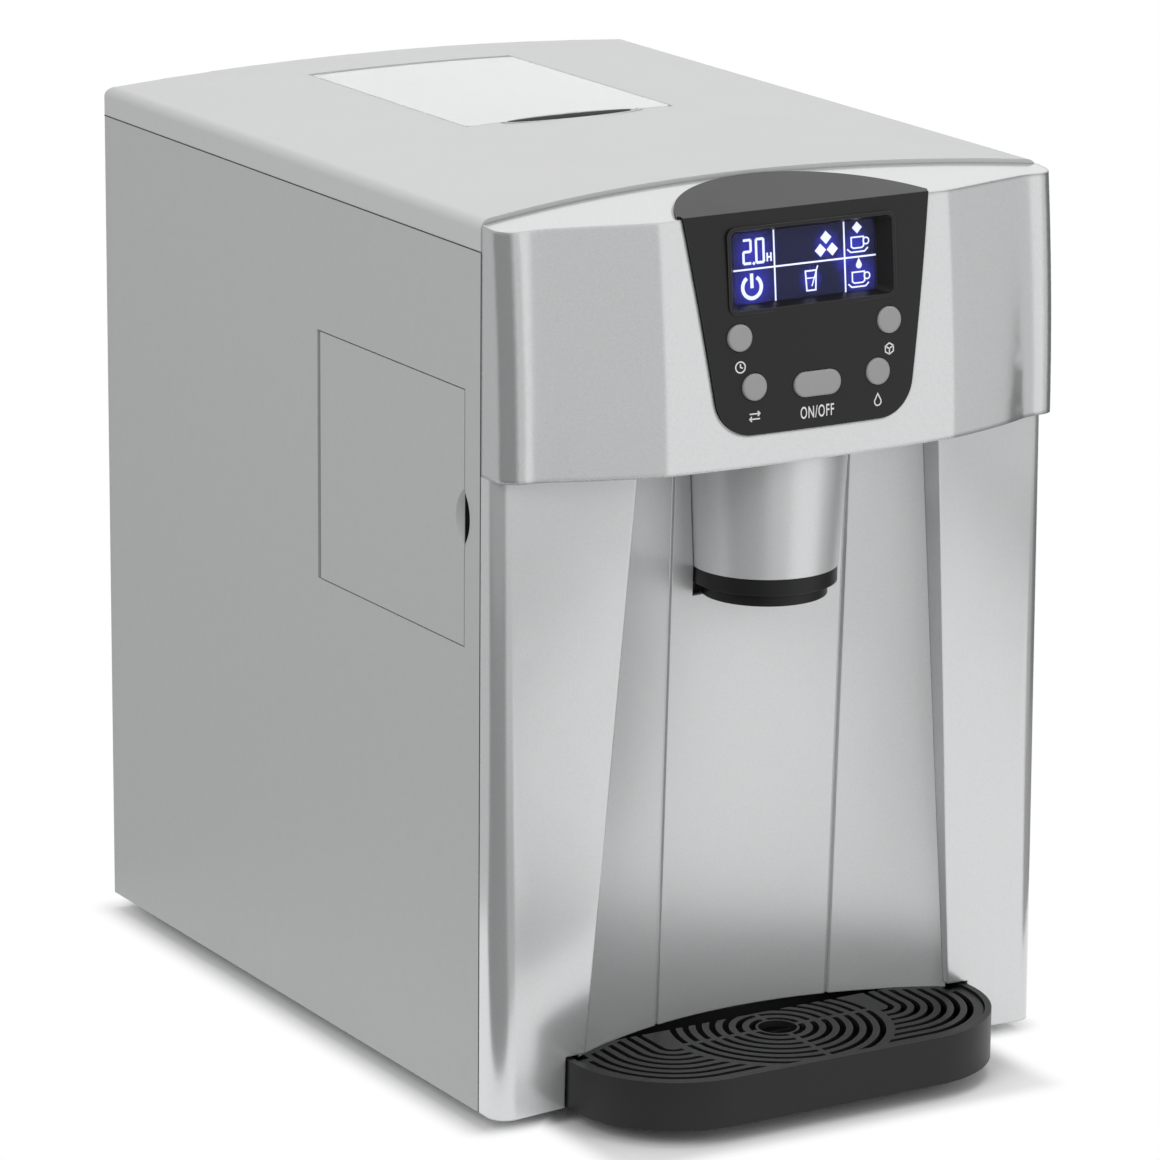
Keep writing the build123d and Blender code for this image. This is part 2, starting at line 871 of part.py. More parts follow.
def scoop(grow, low, mode):
    """Add or cut the finger scoop in front of the window."""
    with BuildSketch(Plane.XY.offset(crown(0))) as high_shape:
        with Locations((0, scoop_y)):
            Ellipse(scoop_half_width + grow, scoop_half_depth + grow)
    with BuildSketch(Plane.XY.offset(low)) as low_shape:
        with Locations((0, scoop_y)):
            Ellipse((scoop_half_width + grow) * scoop_share, (scoop_half_depth + grow) * scoop_share)
    loft(sections=[low_shape.sketch, high_shape.sketch], mode=mode)


with BuildPart() as top_cover:
    add(lid_form(0))
    add(lid_form(lid_wall), mode=Mode.SUBTRACT)
    # Layer under the cover that carries the window's ledge
    rim = (-opening_half - window_ledge_wall, opening_half + window_ledge_wall)
    rim_y = (window_front_y - window_gap - window_ledge_wall, channel_rear + window_ledge_wall)
    add(under_crown(lid_wall, rim, rim_y, crown(opening_half) - ledge_drop - window_ledge_wall))
    scoop(scoop_boss_wall, scoop_low - scoop_boss_wall, Mode.ADD)
    # Well that leads down to the inner cover
    well_outer = (-well_half - well_wall, well_half + well_wall)
    well_y = (window_front_y + window_ledge - well_wall, channel_front + window_ledge)
    add(under_crown(ledge_drop, well_outer, well_y, well_low))
    # Channel for the window's hinge
    block(
        (-channel_end, channel_end),
        (channel_front, channel_rear + well_wall),
        (channel_low - well_wall, crown(channel_end) - lid_wall),
    )
    block(
        (-opening_half, opening_half),
        (channel_front + window_gap, channel_rear),
        (channel_low, level(console_top_level)),
        Mode.SUBTRACT,
    )
    block(
        (-opening_half, opening_half),
        (window_front_y - window_gap, channel_rear),
        (crown(opening_half) - ledge_drop, level(console_top_level)),
        Mode.SUBTRACT,
    )
    block(
        (-well_half, well_half),
        (window_front_y + window_ledge, channel_front + window_ledge - well_wall),
        (underside, level(console_top_level)),
        Mode.SUBTRACT,
    )
    scoop(0, scoop_low, Mode.SUBTRACT)
    for way in (-1, 1):
        rod(
            (way * (window_half_width + window_gap), window_axis_y, window_axis_z),
            (way, 0, 0),
            window_pin_radius,
            window_pin_seat,
            Mode.SUBTRACT,
        )
top_cover.part.label = "top_cover"
export_step(top_cover.part, "parts/top_cover.step")

# Ice window: a clear plate with a hinge barrel along its rear edge
with BuildPart() as ice_window:
    span = (-window_half_width, window_half_width)
    add(under_crown(0, span, (window_front_y, window_axis_y), level(side_height)))
    wide = (-window_half_width - cut_overrun, window_half_width + cut_overrun)
    long = (window_front_y - cut_overrun, window_axis_y + cut_overrun)
    add(under_crown(window_wall, wide, long, level(side_height) - cut_overrun), mode=Mode.SUBTRACT)
    front_corners = ice_window.edges().filter_by(Axis.Z).group_by(Axis.Y)[0]
    fillet(front_corners, window_corner)
    barrel_start = (-window_half_width, window_axis_y, window_axis_z)
    rod(barrel_start, (1, 0, 0), window_barrel_radius, window_half_width * 2)
    scoop(0, scoop_low, Mode.SUBTRACT)
    for way in (-1, 1):
        rod(
            (way * window_half_width, window_axis_y, window_axis_z),
            (-way, 0, 0),
            window_pin_radius + pin_gap,
            window_pin_length - window_pin_seat,
            Mode.SUBTRACT,
        )
ice_window.part.label = "ice_window"
export_step(ice_window.part, "parts/ice_window.step")

with BuildPart() as window_pins:
    for way in (-1, 1):
        rod(
            (way * (window_half_width + window_gap + window_pin_seat), window_axis_y, window_axis_z),
            (-way, 0, 0),
            window_pin_radius,
            window_pin_length,
        )
window_pins.part.label = "window_pins"
export_step(window_pins.part, "parts/window_pins.step")

# Console: the silver moulding over the alcove, open to the body at its rear


def reach(place, height, inset=0):
    """How far the console's form stands before the seam at one place and height."""
    share = (height - console_low) / (console_top_level - console_low)
    low, high = console_low_reaches[place], console_high_reaches[place]
    return low + (high - low) * share + 4 * console_bulge * share * (1 - share) - inset


def console_form(inset):
    """The console's form without its roof, moved inwards by an inset."""
    side = half_width - inset
    start = side - console_corner + inset
    radius = console_corner - inset
    middle = (console_low + console_top_level) / 2
    with BuildPart() as form:
        for height in (console_low, middle, console_top_level):
            front = [front_seam - reach(place, height, inset) for place in range(len(console_low_reaches))]
            knee = front[-1] + radius
            turn = math.pi / 4
            bend = (start + radius * math.sin(turn), front[-1] + radius * (1 - math.cos(turn)))
            with BuildSketch(Plane.XY.offset(level(height))):
                with BuildLine():
                    ThreePointArc((-crease_x, front[1]), (0, front[0]), (crease_x, front[1]))
                    Spline(
                        [
                            (crease_x, front[1]),
                            (shoulder_x, front[2]),
                            (flank_x, front[3]),
                            (start, front[-1]),
                        ],
                        tangents=[(1, wing_slope), (1, 0)],
                    )
                    ThreePointArc((start, front[-1]), bend, (side, knee))
                    Polyline(
                        (side, knee),
                        (side, back(seam_bow * 2)),
                        (-side, back(seam_bow * 2)),
                        (-side, knee),
                    )
                    ThreePointArc((-side, knee), (-bend[0], bend[1]), (-start, front[-1]))
                    Spline(
                        [
                            (-start, front[-1]),
                            (-flank_x, front[3]),
                            (-shoulder_x, front[2]),
                            (-crease_x, front[1]),
                        ],
                        tangents=[(1, 0), (1, -wing_slope)],
                    )
                make_face()
        loft()
    return form.part


def above_roof(rise):
    """Everything above the console's roof, which slopes up to the rear."""
    start = back(-tray_reach)
    ridge = level(roof_front_height) + rise - roof_slope * (tray_reach - console_high_reaches[0])
    side = half_width + cut_overrun
    with BuildPart() as region:
        with BuildSketch(Plane.XZ.offset(-start)):
            with BuildLine():
                ThreePointArc((-side, ridge - roof_crown), (0, ridge), (side, ridge - roof_crown))
                Polyline(
                    (side, ridge - roof_crown),
                    (side, ridge + tray_reach),
                    (-side, ridge + tray_reach),
                    (-side, ridge - roof_crown),
                )
            make_face()
        extrude(amount=tray_reach * 2, dir=(0, 1, roof_slope))
    return region.part


def console_block(inset):
    """The console's form with its roof, moved inwards by an inset."""
    with BuildPart() as solid:
        add(console_form(inset))
        add(above_roof(-inset), mode=Mode.SUBTRACT)
    return solid.part


def surface_reach(x, height):
    """How far the console's centre face stands before the seam at one point."""
    return reach(0, height) - (reach(0, height) - reach(1, height)) * (x / crease_x) ** 2


tilt = math.radians(control_tilt)
controls = Plane(
    origin=(0, front_seam - surface_reach(0, display_height) - fascia_proud, level(display_height)),
    x_dir=(1, 0, 0),
    z_dir=(0, -math.cos(tilt), math.sin(tilt)),
)


def control_place(x, height):
    """A point of the fascia's face, measured in the plane of the controls."""
    point = Vector(x, front_seam - surface_reach(x, height) - fascia_proud, level(height))
    return controls.to_local_coords(point)


def slab(half_x, low_y, high_y, low_z, high_z, mode=Mode.ADD):
    """Add or cut a box that stands on the plane of the controls."""
    with Locations(controls * Location((0, (low_y + high_y) / 2, (low_z + high_z) / 2))):
        Box(half_x * 2, high_y - low_y, high_z - low_z, mode=mode)


def fascia_outline(grow):
    """The prisms that bound the fascia on the console's front and roof."""
    half_high = fascia_top_half + grow
    half_low = fascia_low_half + grow
    high = level(console_top_level)
    low = level(fascia_low) - grow
    front = back(-fascia_arc_front)
    with BuildPart() as outline:
        with BuildSketch(Plane.XZ.offset(-front)) as front_shape:
            with BuildLine():
                Polyline(
                    (-half_low, low),
                    (half_low, low),
                    (half_high, high),
                    (-half_high, high),
                    close=True,
                )
            make_face()
            fillet(front_shape.vertices().group_by(Axis.Y)[0], fascia_corner)
        extrude(amount=tray_reach)
        with BuildSketch(Plane.XY.offset(high - console_corner * 2)):
            with BuildLine():
                arc_y = front - pin_gap
                ThreePointArc((-half_high, arc_y), (0, back(fascia_arc_reach) + grow), (half_high, arc_y))
                Line((half_high, arc_y), (-half_high, arc_y))
            make_face()
        extrude(amount=console_corner * 4)
    return outline.part


# Depths in the plane of the controls, counted down from the fascia's face
lens_top = -display_depth
module_top = lens_top - lens_wall
board_top = module_top - module_wall
wall_back = -control_wall
board_low_y = control_place(0, board_low).Y
board_high_y = control_place(0, board_high).Y
round_buttons = {
    "timer_button": (-button_high_x, button_high),
    "ice_button": (button_high_x, button_high),
    "select_button": (-button_low_x, button_low),
    "water_button": (button_low_x, button_low),
}
plunger_top = board_top + switch_height + plunger_height


def display_funnel(grow, mode):
    """Add or cut the sloping recess in front of the display, grown by a wall."""
    with BuildSketch(controls) as high_shape:
        RectangleRounded(
            (display_half_width + grow) * 2,
            (display_half_height + grow) * 2,
            display_corner + grow,
        )
    with BuildSketch(controls.offset(lens_top)) as low_shape:
        RectangleRounded(
            (display_back_half_width + grow) * 2,
            (display_back_half_height + grow) * 2,
            display_corner + grow,
        )
    loft(sections=[low_shape.sketch, high_shape.sketch], mode=mode)


def button_holes(grow):
    """Cut the five button holes through the face of the controls."""
    with BuildSketch(controls.offset(wall_back * 2)) as holes:
        for x, height in round_buttons.values():
            with Locations((x, control_place(x, height).Y)):
                Circle(button_radius + grow)
        with Locations((0, control_place(0, power_height).Y)):
            SlotOverall((power_half_length + grow) * 2, (power_half_height + grow) * 2)
    extrude(holes.sketch, amount=control_wall * 4, mode=Mode.SUBTRACT)


with BuildPart() as console_void:
    add(console_block(console_wall))
    block(
        (-half_width, half_width),
        (back(-tray_reach), back(seam_bow * 2)),
        (underside, level(console_low) + console_wall),
        Mode.SUBTRACT,
    )
    slab(fascia_top_half, -tray_reach * 2, display_half_height * 2, wall_back, tray_reach, Mode.SUBTRACT)
    block(
        (-half_width + console_wall, half_width - console_wall),
        (back(seam_bow), back(seam_bow * 3)),
        (level(console_low) + console_wall, level(roof_front_height) - console_wall),
    )

guide_y = (back(chute_depth) - guide_half, back(chute_depth) + guide_half)
spout_y = back(spout_depth)
with BuildPart() as console:
    add(console_block(0))
    add(console_void.part, mode=Mode.SUBTRACT)
    # Bodies behind the seam plane belong to the panels and the top cover
    block(
        (-half_width - cut_overrun, half_width + cut_overrun),
        (front_seam, back(seam_bow * 3)),
        (underside, level(side_height)),
        Mode.SUBTRACT,
    )
    add(before_seam(-seam_gap / 2), mode=Mode.INTERSECT)
    for x, drop in post_places:
        post_y = control_place(x, console_top_level - drop).Y
        for side in (-1, 1):
            with Locations(controls * Location((side * x, post_y, board_top))):
                Cylinder(post_radius, wall_back - board_top, align=upright)
    # Pocket that takes the fascia
    with BuildPart(mode=Mode.PRIVATE) as pocket:
        add(console_block(-fascia_proud * 2))
        add(console_block(fascia_depth + pin_gap), mode=Mode.SUBTRACT)
        add(fascia_outline(fascia_fit), mode=Mode.INTERSECT)
    add(pocket.part, mode=Mode.SUBTRACT)
    display_funnel(display_frame_wall + fascia_fit, Mode.SUBTRACT)
    button_holes(button_hole_gap)
    # Holes for the ice guide and the water spout
    block(
        (-guide_half - seat_gap, guide_half + seat_gap),
        (guide_y[0] - seat_gap, guide_y[1] + seat_gap),
        (underside, level(console_low) + console_wall),
        Mode.SUBTRACT,
    )
    rod(
        (0, spout_y, level(console_low)), (0, 0, 1), spout_radius + pin_gap, console_wall, Mode.SUBTRACT
    )
console.part.label = "console"
export_step(console.part, "parts/console.step")

# Fascia: the black cover of the controls, with the display's recess
with BuildPart() as fascia:
    add(console_block(-fascia_proud))
    add(console_block(fascia_depth), mode=Mode.SUBTRACT)
    add(fascia_outline(0), mode=Mode.INTERSECT)
    display_funnel(display_frame_wall, Mode.ADD)
    display_funnel(0, Mode.SUBTRACT)
    slab(display_half_width, -display_half_height, display_half_height, 0, control_wall, Mode.SUBTRACT)
    button_holes(button_hole_gap)
fascia.part.label = "fascia"
export_step(fascia.part, "parts/fascia.step")

with BuildPart() as display_lens:
    slab(
        display_back_half_width + lens_border,
        -display_back_half_height - lens_border,
        display_back_half_height + lens_border,
        module_top,
        lens_top,
    )
display_lens.part.label = "display_lens"
export_step(display_lens.part, "parts/display_lens.step")

with BuildPart() as display_module:
    slab(
        display_back_half_width + lens_border,
        -display_back_half_height - lens_border,
        display_back_half_height + lens_border,
        board_top,
        module_top,
    )
display_module.part.label = "display_module"
export_step(display_module.part, "parts/display_module.step")

# Control board with a switch under every button
with BuildPart() as control_board:
    slab(board_half_width, board_low_y, board_high_y, board_top - board_wall, board_top)
    switch_places = list(round_buttons.values()) + [(0, power_height)]
    for x, height in switch_places:
        with Locations(controls * Location((x, control_place(x, height).Y, board_top))):
            Box(switch_side, switch_side, switch_height, align=upright)
            Cylinder(plunger_radius, switch_height + plunger_height, align=upright)
control_board.part.label = "control_board"
export_step(control_board.part, "parts/control_board.step")

# Buttons: each has a flange behind the wall and a stem over its switch
flange_top = wall_back - pin_gap
stem_low = plunger_top + button_travel + pin_gap
for name, (x, height) in round_buttons.items():
    place = control_place(x, height)
    with BuildPart() as round_button:
        with Locations(controls * Location((place.X, place.Y, flange_top - button_flange_wall))):
            cap_length = place.Z + button_proud - flange_top + button_flange_wall
            Cylinder(button_radius, cap_length, align=upright)
            fillet(round_button.edges().group_by(Axis.Y)[0], button_round)
            Cylinder(button_radius + button_flange, button_flange_wall, align=upright)
        with Locations(controls * Location((place.X, place.Y, stem_low))):
            Cylinder(stem_radius, flange_top - stem_low, align=upright)
    round_button.part.label = name
    export_step(round_button.part, f"parts/{name}.step")

power_place = control_place(0, power_height)
with BuildPart() as power_button:
    with BuildSketch(controls.offset(flange_top - button_flange_wall)):
        with Locations((0, power_place.Y)):
            SlotOverall(power_half_length * 2, power_half_height * 2)
    extrude(amount=power_place.Z + button_proud - flange_top + button_flange_wall)
    fillet(power_button.edges().group_by(Axis.Y)[0], button_round)
    with BuildSketch(controls.offset(flange_top - button_flange_wall)):
        with Locations((0, power_place.Y)):
            SlotOverall((power_half_length + button_flange) * 2, (power_half_height + button_flange) * 2)
    extrude(amount=button_flange_wall)
    with Locations(controls * Location((0, power_place.Y, stem_low))):
        Cylinder(stem_radius, flange_top - stem_low, align=upright)
power_button.part.label = "power_button"
export_step(power_button.part, "parts/power_button.step")

# Lower front moulding: two hollow pillars around the dispensing alcove


def front_form(inset):
    """The lower front's outer form, moved inwards by an inset but not at its open rear."""
    side = half_width - inset
    radius = pillar_round - inset
    rear = front_seam + inset * 2
    sections = (
        (0, pillar_corner_low, pillar_edge_low, mouth_half_low),
        (console_low, pillar_corner_high, pillar_edge_high, mouth_half_high),
    )
    with BuildPart() as form:
        for height, corner, edge, half in sections:
            corner_y = front_seam - corner + inset
            edge_y = front_seam - edge + inset
            with BuildSketch(Plane.XY.offset(level(height))):
                with BuildLine():
                    FilletPolyline((half, edge_y), (side, corner_y), (side, rear), radius=radius)
                    Line((side, rear), (-side, rear))
                    FilletPolyline((-side, rear), (-side, corner_y), (-half, edge_y), radius=radius)
                    Line((-half, edge_y), (half, edge_y))
                make_face()
        loft(ruled=True)
    return form.part


def mouth(grow):
    """The alcove's mouth as a tapered prism, grown sideways."""
    with BuildPart() as prism:
        with BuildSketch(Plane.XZ.offset(-back(tray_reach))):
            with BuildLine():
                Polyline(
                    (-mouth_half_low - grow, underside),
                    (mouth_half_low + grow, underside),
                    (mouth_half_high + grow, level(console_low)),
                    (-mouth_half_high - grow, level(console_low)),
                    close=True,
                )
            make_face()
        extrude(amount=tray_reach * 2)
    return prism.part


alcove_drift = (0, alcove_depth_high - alcove_depth_low, console_low)
alcove_run = math.hypot(*alcove_drift)


def alcove_line(x, shift=0):
    """The y of the alcove's concave wall at the body's underside."""
    radius = alcove_radius + shift
    return back(alcove_depth_low) - alcove_radius + math.sqrt(radius**2 - x**2)


def behind_alcove(shift, half):
    """Everything behind the alcove's concave wall, moved back by a shift."""
    edge = alcove_line(half, shift)
    rear = back(tray_reach)
    with BuildPart() as region:
        with BuildSketch(Plane.XY.offset(underside)):
            with BuildLine():
                ThreePointArc((-half, edge), (0, alcove_line(0, shift)), (half, edge))
                Polyline((half, edge), (half, rear), (-half, rear), (-half, edge))
            make_face()
        extrude(amount=alcove_run, dir=alcove_drift)
    return region.part


with BuildPart() as front_housing:
    add(front_form(0))
    with BuildPart(mode=Mode.PRIVATE) as pillar_void:
        add(front_form(front_wall))
        block(
            (-half_width, half_width),
            (back(-tray_reach), back(tray_reach)),
            (underside, level(front_wall)),
            Mode.SUBTRACT,
        )
    add(pillar_void.part, mode=Mode.SUBTRACT)
    # Lips that run from the mouth's edges back to the alcove's wall
    with BuildPart(mode=Mode.PRIVATE) as lips:
        add(front_form(0))
        add(mouth(mouth_lip), mode=Mode.INTERSECT)
        add(behind_alcove(0, half_width), mode=Mode.SUBTRACT)
    add(lips.part)
    add(mouth(0), mode=Mode.SUBTRACT)
    block(
        (-tray_slot_half, tray_slot_half),
        (back(-tray_reach), back(tray_reach)),
        (underside, level(tray_slot_height)),
        Mode.SUBTRACT,
    )
    # Band behind the alcove's wall that ties the two pillars together
    band_z = (level(tray_slot_height), level(tray_slot_height + band_height))
    with BuildPart(mode=Mode.PRIVATE) as band:
        add(behind_alcove(alcove_wall, half_width))
        add(behind_alcove(alcove_wall + front_wall, half_width), mode=Mode.SUBTRACT)
        block(
            (-alcove_half_width - front_wall, alcove_half_width + front_wall),
            (back(-tray_reach), back(tray_reach)),
            band_z,
            Mode.INTERSECT,
        )
    add(band.part)
    band_y = front_seam - pillar_corner_low + pillar_round
    for side in (-1, 1):
        ends = sorted((side * (alcove_half_width + seat_gap), side * (half_width - front_wall / 2)))
        block(ends, (band_y, band_y + front_wall * 2), band_z)
front_housing.part.label = "front_housing"
export_step(front_housing.part, "parts/front_housing.step")

# Alcove wall: a concave sheet behind the mouth with two upright grooves
chute_y = back(chute_depth)
with BuildPart() as alcove_liner:
    add(behind_alcove(0, half_width))
    add(behind_alcove(alcove_wall, half_width), mode=Mode.SUBTRACT)
    block(
        (-alcove_half_width, alcove_half_width),
        (back(-tray_reach), back(tray_reach)),
        (level(liner_foot_height), level(console_low)),
        Mode.INTERSECT,
    )
    add(mouth(mouth_lip), mode=Mode.INTERSECT)
    for side in (-1, 1):
        with BuildSketch(Plane.XY.offset(underside)) as groove:
            with Locations((side * groove_x, alcove_line(groove_x))):
                Rectangle(groove_width, groove_depth * 2)
        extrude(groove.sketch, amount=alcove_run, dir=alcove_drift, mode=Mode.SUBTRACT)
    chute_cut = chute_low_radius + seat_gap
    rod((0, chute_y, level(nozzle_low) - seat_gap), (0, 0, 1), chute_cut, console_low, Mode.SUBTRACT)
    with Locations((0, chute_y, level(chute_low))):
        Cone(
            chute_cut,
            chute_top_radius + seat_gap,
            console_low - chute_low,
            align=upright,
            mode=Mode.SUBTRACT,
        )
alcove_liner.part.label = "alcove_liner"
export_step(alcove_liner.part, "parts/alcove_liner.step")

# Chute: a tapered shroud with two black rings below it
chute_rear = back(tub_front_depth) - flap_barrel_radius
spout_hole = spout_radius + seat_gap
keep_x = (-chute_top_radius * 2, chute_top_radius * 2)
rear_cut = (chute_rear, chute_rear + chute_top_radius * 2)
with BuildPart() as chute_shroud:
    with Locations((0, chute_y, level(chute_low))):
        Cone(chute_low_radius, chute_top_radius, console_low - chute_low, align=upright)
        Cone(
            chute_low_radius - chute_wall,
            chute_top_radius - chute_wall,
            console_low - chute_low,
            align=upright,
            mode=Mode.SUBTRACT,
        )
    block(keep_x, rear_cut, (underside, level(console_low)), Mode.SUBTRACT)
chute_shroud.part.label = "chute_shroud"
export_step(chute_shroud.part, "parts/chute_shroud.step")

with BuildPart() as collar_ring:
    rod((0, chute_y, level(collar_low)), (0, 0, 1), collar_radius, chute_low - collar_low)
    rod((0, chute_y, level(collar_low)), (0, 0, 1), collar_bore, chute_low - collar_low, Mode.SUBTRACT)
    rod((0, spout_y, level(collar_low)), (0, 0, 1), spout_hole, chute_low - collar_low, Mode.SUBTRACT)
    block(keep_x, rear_cut, (underside, level(console_low)), Mode.SUBTRACT)
collar_ring.part.label = "collar_ring"
export_step(collar_ring.part, "parts/collar_ring.step")

with BuildPart() as nozzle_ring:
    rod((0, chute_y, level(nozzle_low)), (0, 0, 1), nozzle_radius, collar_low - nozzle_low)
    rod((0, chute_y, level(nozzle_low)), (0, 0, 1), nozzle_bore, collar_low - nozzle_low, Mode.SUBTRACT)
    rod((0, spout_y, level(nozzle_low)), (0, 0, 1), spout_hole, collar_low - nozzle_low, Mode.SUBTRACT)
    block(keep_x, rear_cut, (underside, level(console_low)), Mode.SUBTRACT)
nozzle_ring.part.label = "nozzle_ring"
export_step(nozzle_ring.part, "parts/nozzle_ring.step")

# Ice guide: a square tube, open at its foot and towards the ice bin
guide_inner = guide_half - guide_wall
flap_y = guide_y[1] - guide_wall - flap_barrel_radius - flap_side_gap
guide_flange = (level(console_low) + console_wall, level(console_low) + console_wall + guide_wall)
with BuildPart() as ice_guide:
    block((-guide_half, guide_half), guide_y, (level(guide_low), level(guide_high)))
    reach_out = guide_half + guide_wall
    block((-reach_out, reach_out), (guide_y[0] - guide_wall, guide_y[1]), guide_flange)
    rod((0, spout_y, guide_flange[0]), (0, 0, 1), spout_hole, guide_wall, Mode.SUBTRACT)
    block(
        (-guide_inner, guide_inner),
        (guide_y[0] + guide_wall, guide_y[1] - guide_wall),
        (level(guide_low), level(guide_high) - guide_wall),
        Mode.SUBTRACT,
    )
    block(
        (-guide_inner, guide_inner),
        (guide_y[1] - guide_wall, guide_y[1]),
        (level(auger_height - trough_radius), level(auger_height + trough_radius)),
        Mode.SUBTRACT,
    )
    rod(
        (-guide_half, flap_y, level(flap_height)),
        (1, 0, 0),
        flap_pin_radius + pin_gap,
        guide_half * 2,
        Mode.SUBTRACT,
    )
ice_guide.part.label = "ice_guide"
export_step(ice_guide.part, "parts/ice_guide.step")

with BuildPart() as ice_flap:
    half = guide_inner - flap_side_gap
    block(
        (-half, half),
        (guide_y[0] + guide_wall + flap_side_gap, flap_y),
        (level(flap_height) - flap_wall / 2, level(flap_height) + flap_wall / 2),
    )
    rod((-half, flap_y, level(flap_height)), (1, 0, 0), flap_barrel_radius, half * 2)
    rod((-guide_half, flap_y, level(flap_height)), (1, 0, 0), flap_pin_radius, guide_half * 2)
ice_flap.part.label = "ice_flap"
export_step(ice_flap.part, "parts/ice_flap.step")

with BuildPart() as water_spout:
    rod((0, spout_y, level(spout_low)), (0, 0, 1), spout_radius, spout_high - spout_low)
    rod(
        (0, spout_y, level(spout_low)),
        (0, 0, 1),
        spout_radius - spout_wall,
        spout_high - spout_low,
        Mode.SUBTRACT,
    )
water_spout.part.label = "water_spout"
export_step(water_spout.part, "parts/water_spout.step")

# Drip tray: a deep black tray that slides out of the front


def tray_plan(inset, rear_depth):
    """The tray's outline from above, moved inwards by an inset."""
    half = tray_half_width - inset
    front = back(-tray_reach) + inset
    rear = back(rear_depth)
    with BuildSketch() as plan:
        with Locations((0, (front + rear) / 2)):
            Rectangle(half * 2, rear - front)
        fillet(plan.vertices().group_by(Axis.Y)[0], tray_corner - inset)
    return plan.sketch


def shifted(sketch, height):
    """The same sketch at a height."""
    return sketch.moved(Location((0, 0, height)))


tray_step = back(pan_notch_depth) - slide_gap
tray_floor_high = pan_wall + sheet_gap + tray_floor
grille_top = level(tray_height - grille_drop)
grille_low = grille_top - grille_wall
grille_inset = tray_wall + grille_gap
alcove_curve = alcove_line(0) + (alcove_depth_high - alcove_depth_low) * tray_slot_height / console_low


def grille_plan(inset):
    """The grille's outline: the tray's outline, closed by the alcove's arc at its rear."""
    half = mouth_half_low - grille_mouth_room - inset
    sink = alcove_curve - alcove_line(0) - grille_gap - inset
    rim_y = front_seam - pillar_corner_low + pillar_round / 2 - grille_gap - grille_lift_room - inset
    with BuildSketch() as plan:
        add(tray_plan(grille_inset + inset, 0))
        with BuildSketch(mode=Mode.PRIVATE) as reach_area:
            with BuildLine():
                ThreePointArc(
                    (-half, alcove_line(half) + sink),
                    (0, alcove_line(0) + sink),
                    (half, alcove_line(half) + sink),
                )
                Polyline(
                    (half, alcove_line(half) + sink),
                    (half, rim_y),
                    (half_width, rim_y),
                    (half_width, back(-tray_reach * 2)),
                    (-half_width, back(-tray_reach * 2)),
                    (-half_width, rim_y),
                    (-half, rim_y),
                    (-half, alcove_line(half) + sink),
                )
            make_face()
        add(reach_area.sketch, mode=Mode.INTERSECT)
    return plan.sketch


with BuildPart() as drip_tray:
    extrude(shifted(tray_plan(0, tray_rear_depth), underside), amount=tray_height)
    cavity = tray_plan(tray_wall, tray_rear_depth - tray_wall)
    extrude(shifted(cavity, level(tray_floor_high)), amount=tray_height, mode=Mode.SUBTRACT)
    block(
        (-half_width, half_width),
        (tray_step, back(tray_rear_depth)),
        (underside, level(pan_wall + sheet_gap)),
        Mode.SUBTRACT,
    )
    block(
        (-half_width, half_width),
        (alcove_line(0), back(tray_rear_depth)),
        (level(tray_rear_height), level(tray_height)),
        Mode.SUBTRACT,
    )
    # Ledge that carries the grille
    with BuildPart(mode=Mode.PRIVATE) as ledge:
        extrude(shifted(grille_plan(-grille_gap), grille_low - grille_ledge_wall), amount=grille_ledge_wall)
        extrude(
            shifted(grille_plan(grille_ledge), grille_low - grille_ledge_wall),
            amount=grille_ledge_wall,
            mode=Mode.SUBTRACT,
        )
    add(ledge.part)
drip_tray.part.label = "drip_tray"
export_step(drip_tray.part, "parts/drip_tray.step")

# Grille: rings in the middle, and slots that follow the tray's outline at the sides
grille_y = back(-grille_centre_reach)
with BuildPart() as drip_grille:
    extrude(shifted(grille_plan(0), grille_low), amount=grille_wall)
    with BuildSketch(Plane.XY.offset(grille_low)) as ring_slots:
        for ring in range(ring_count):
            with BuildSketch(mode=Mode.PRIVATE) as ring_slot_area:
                with Locations((0, grille_y)):
                    Circle(ring_first + ring * ring_pitch)
                    Circle(ring_first + ring * ring_pitch - ring_slot, mode=Mode.SUBTRACT)
            add(ring_slot_area.sketch)
        with Locations((0, grille_y)):
            Rectangle(spoke_width, ring_zone * 2, mode=Mode.SUBTRACT)
            Rectangle(ring_zone * 2, spoke_width, mode=Mode.SUBTRACT)
            Circle(grille_hole)
        for slot in range(wing_slot_count):
            inset = grille_inset + wing_slot_first + slot * ring_pitch
            with BuildSketch(mode=Mode.PRIVATE) as wing_slot:
                add(tray_plan(inset, tray_rear_depth))
                add(tray_plan(inset + ring_slot, tray_rear_depth), mode=Mode.SUBTRACT)
                with Locations((0, grille_y)):
                    Circle(ring_zone, mode=Mode.SUBTRACT)
            add(wing_slot.sketch)
    with BuildSketch(Plane.XY.offset(grille_low)) as slots:
        add(ring_slots.sketch.moved(Location((0, 0, -grille_low))))
        add(grille_plan(grille_border), mode=Mode.INTERSECT)
    extrude(slots.sketch, amount=grille_wall, mode=Mode.SUBTRACT)
drip_grille.part.label = "drip_grille"
export_step(drip_grille.part, "parts/drip_grille.step")

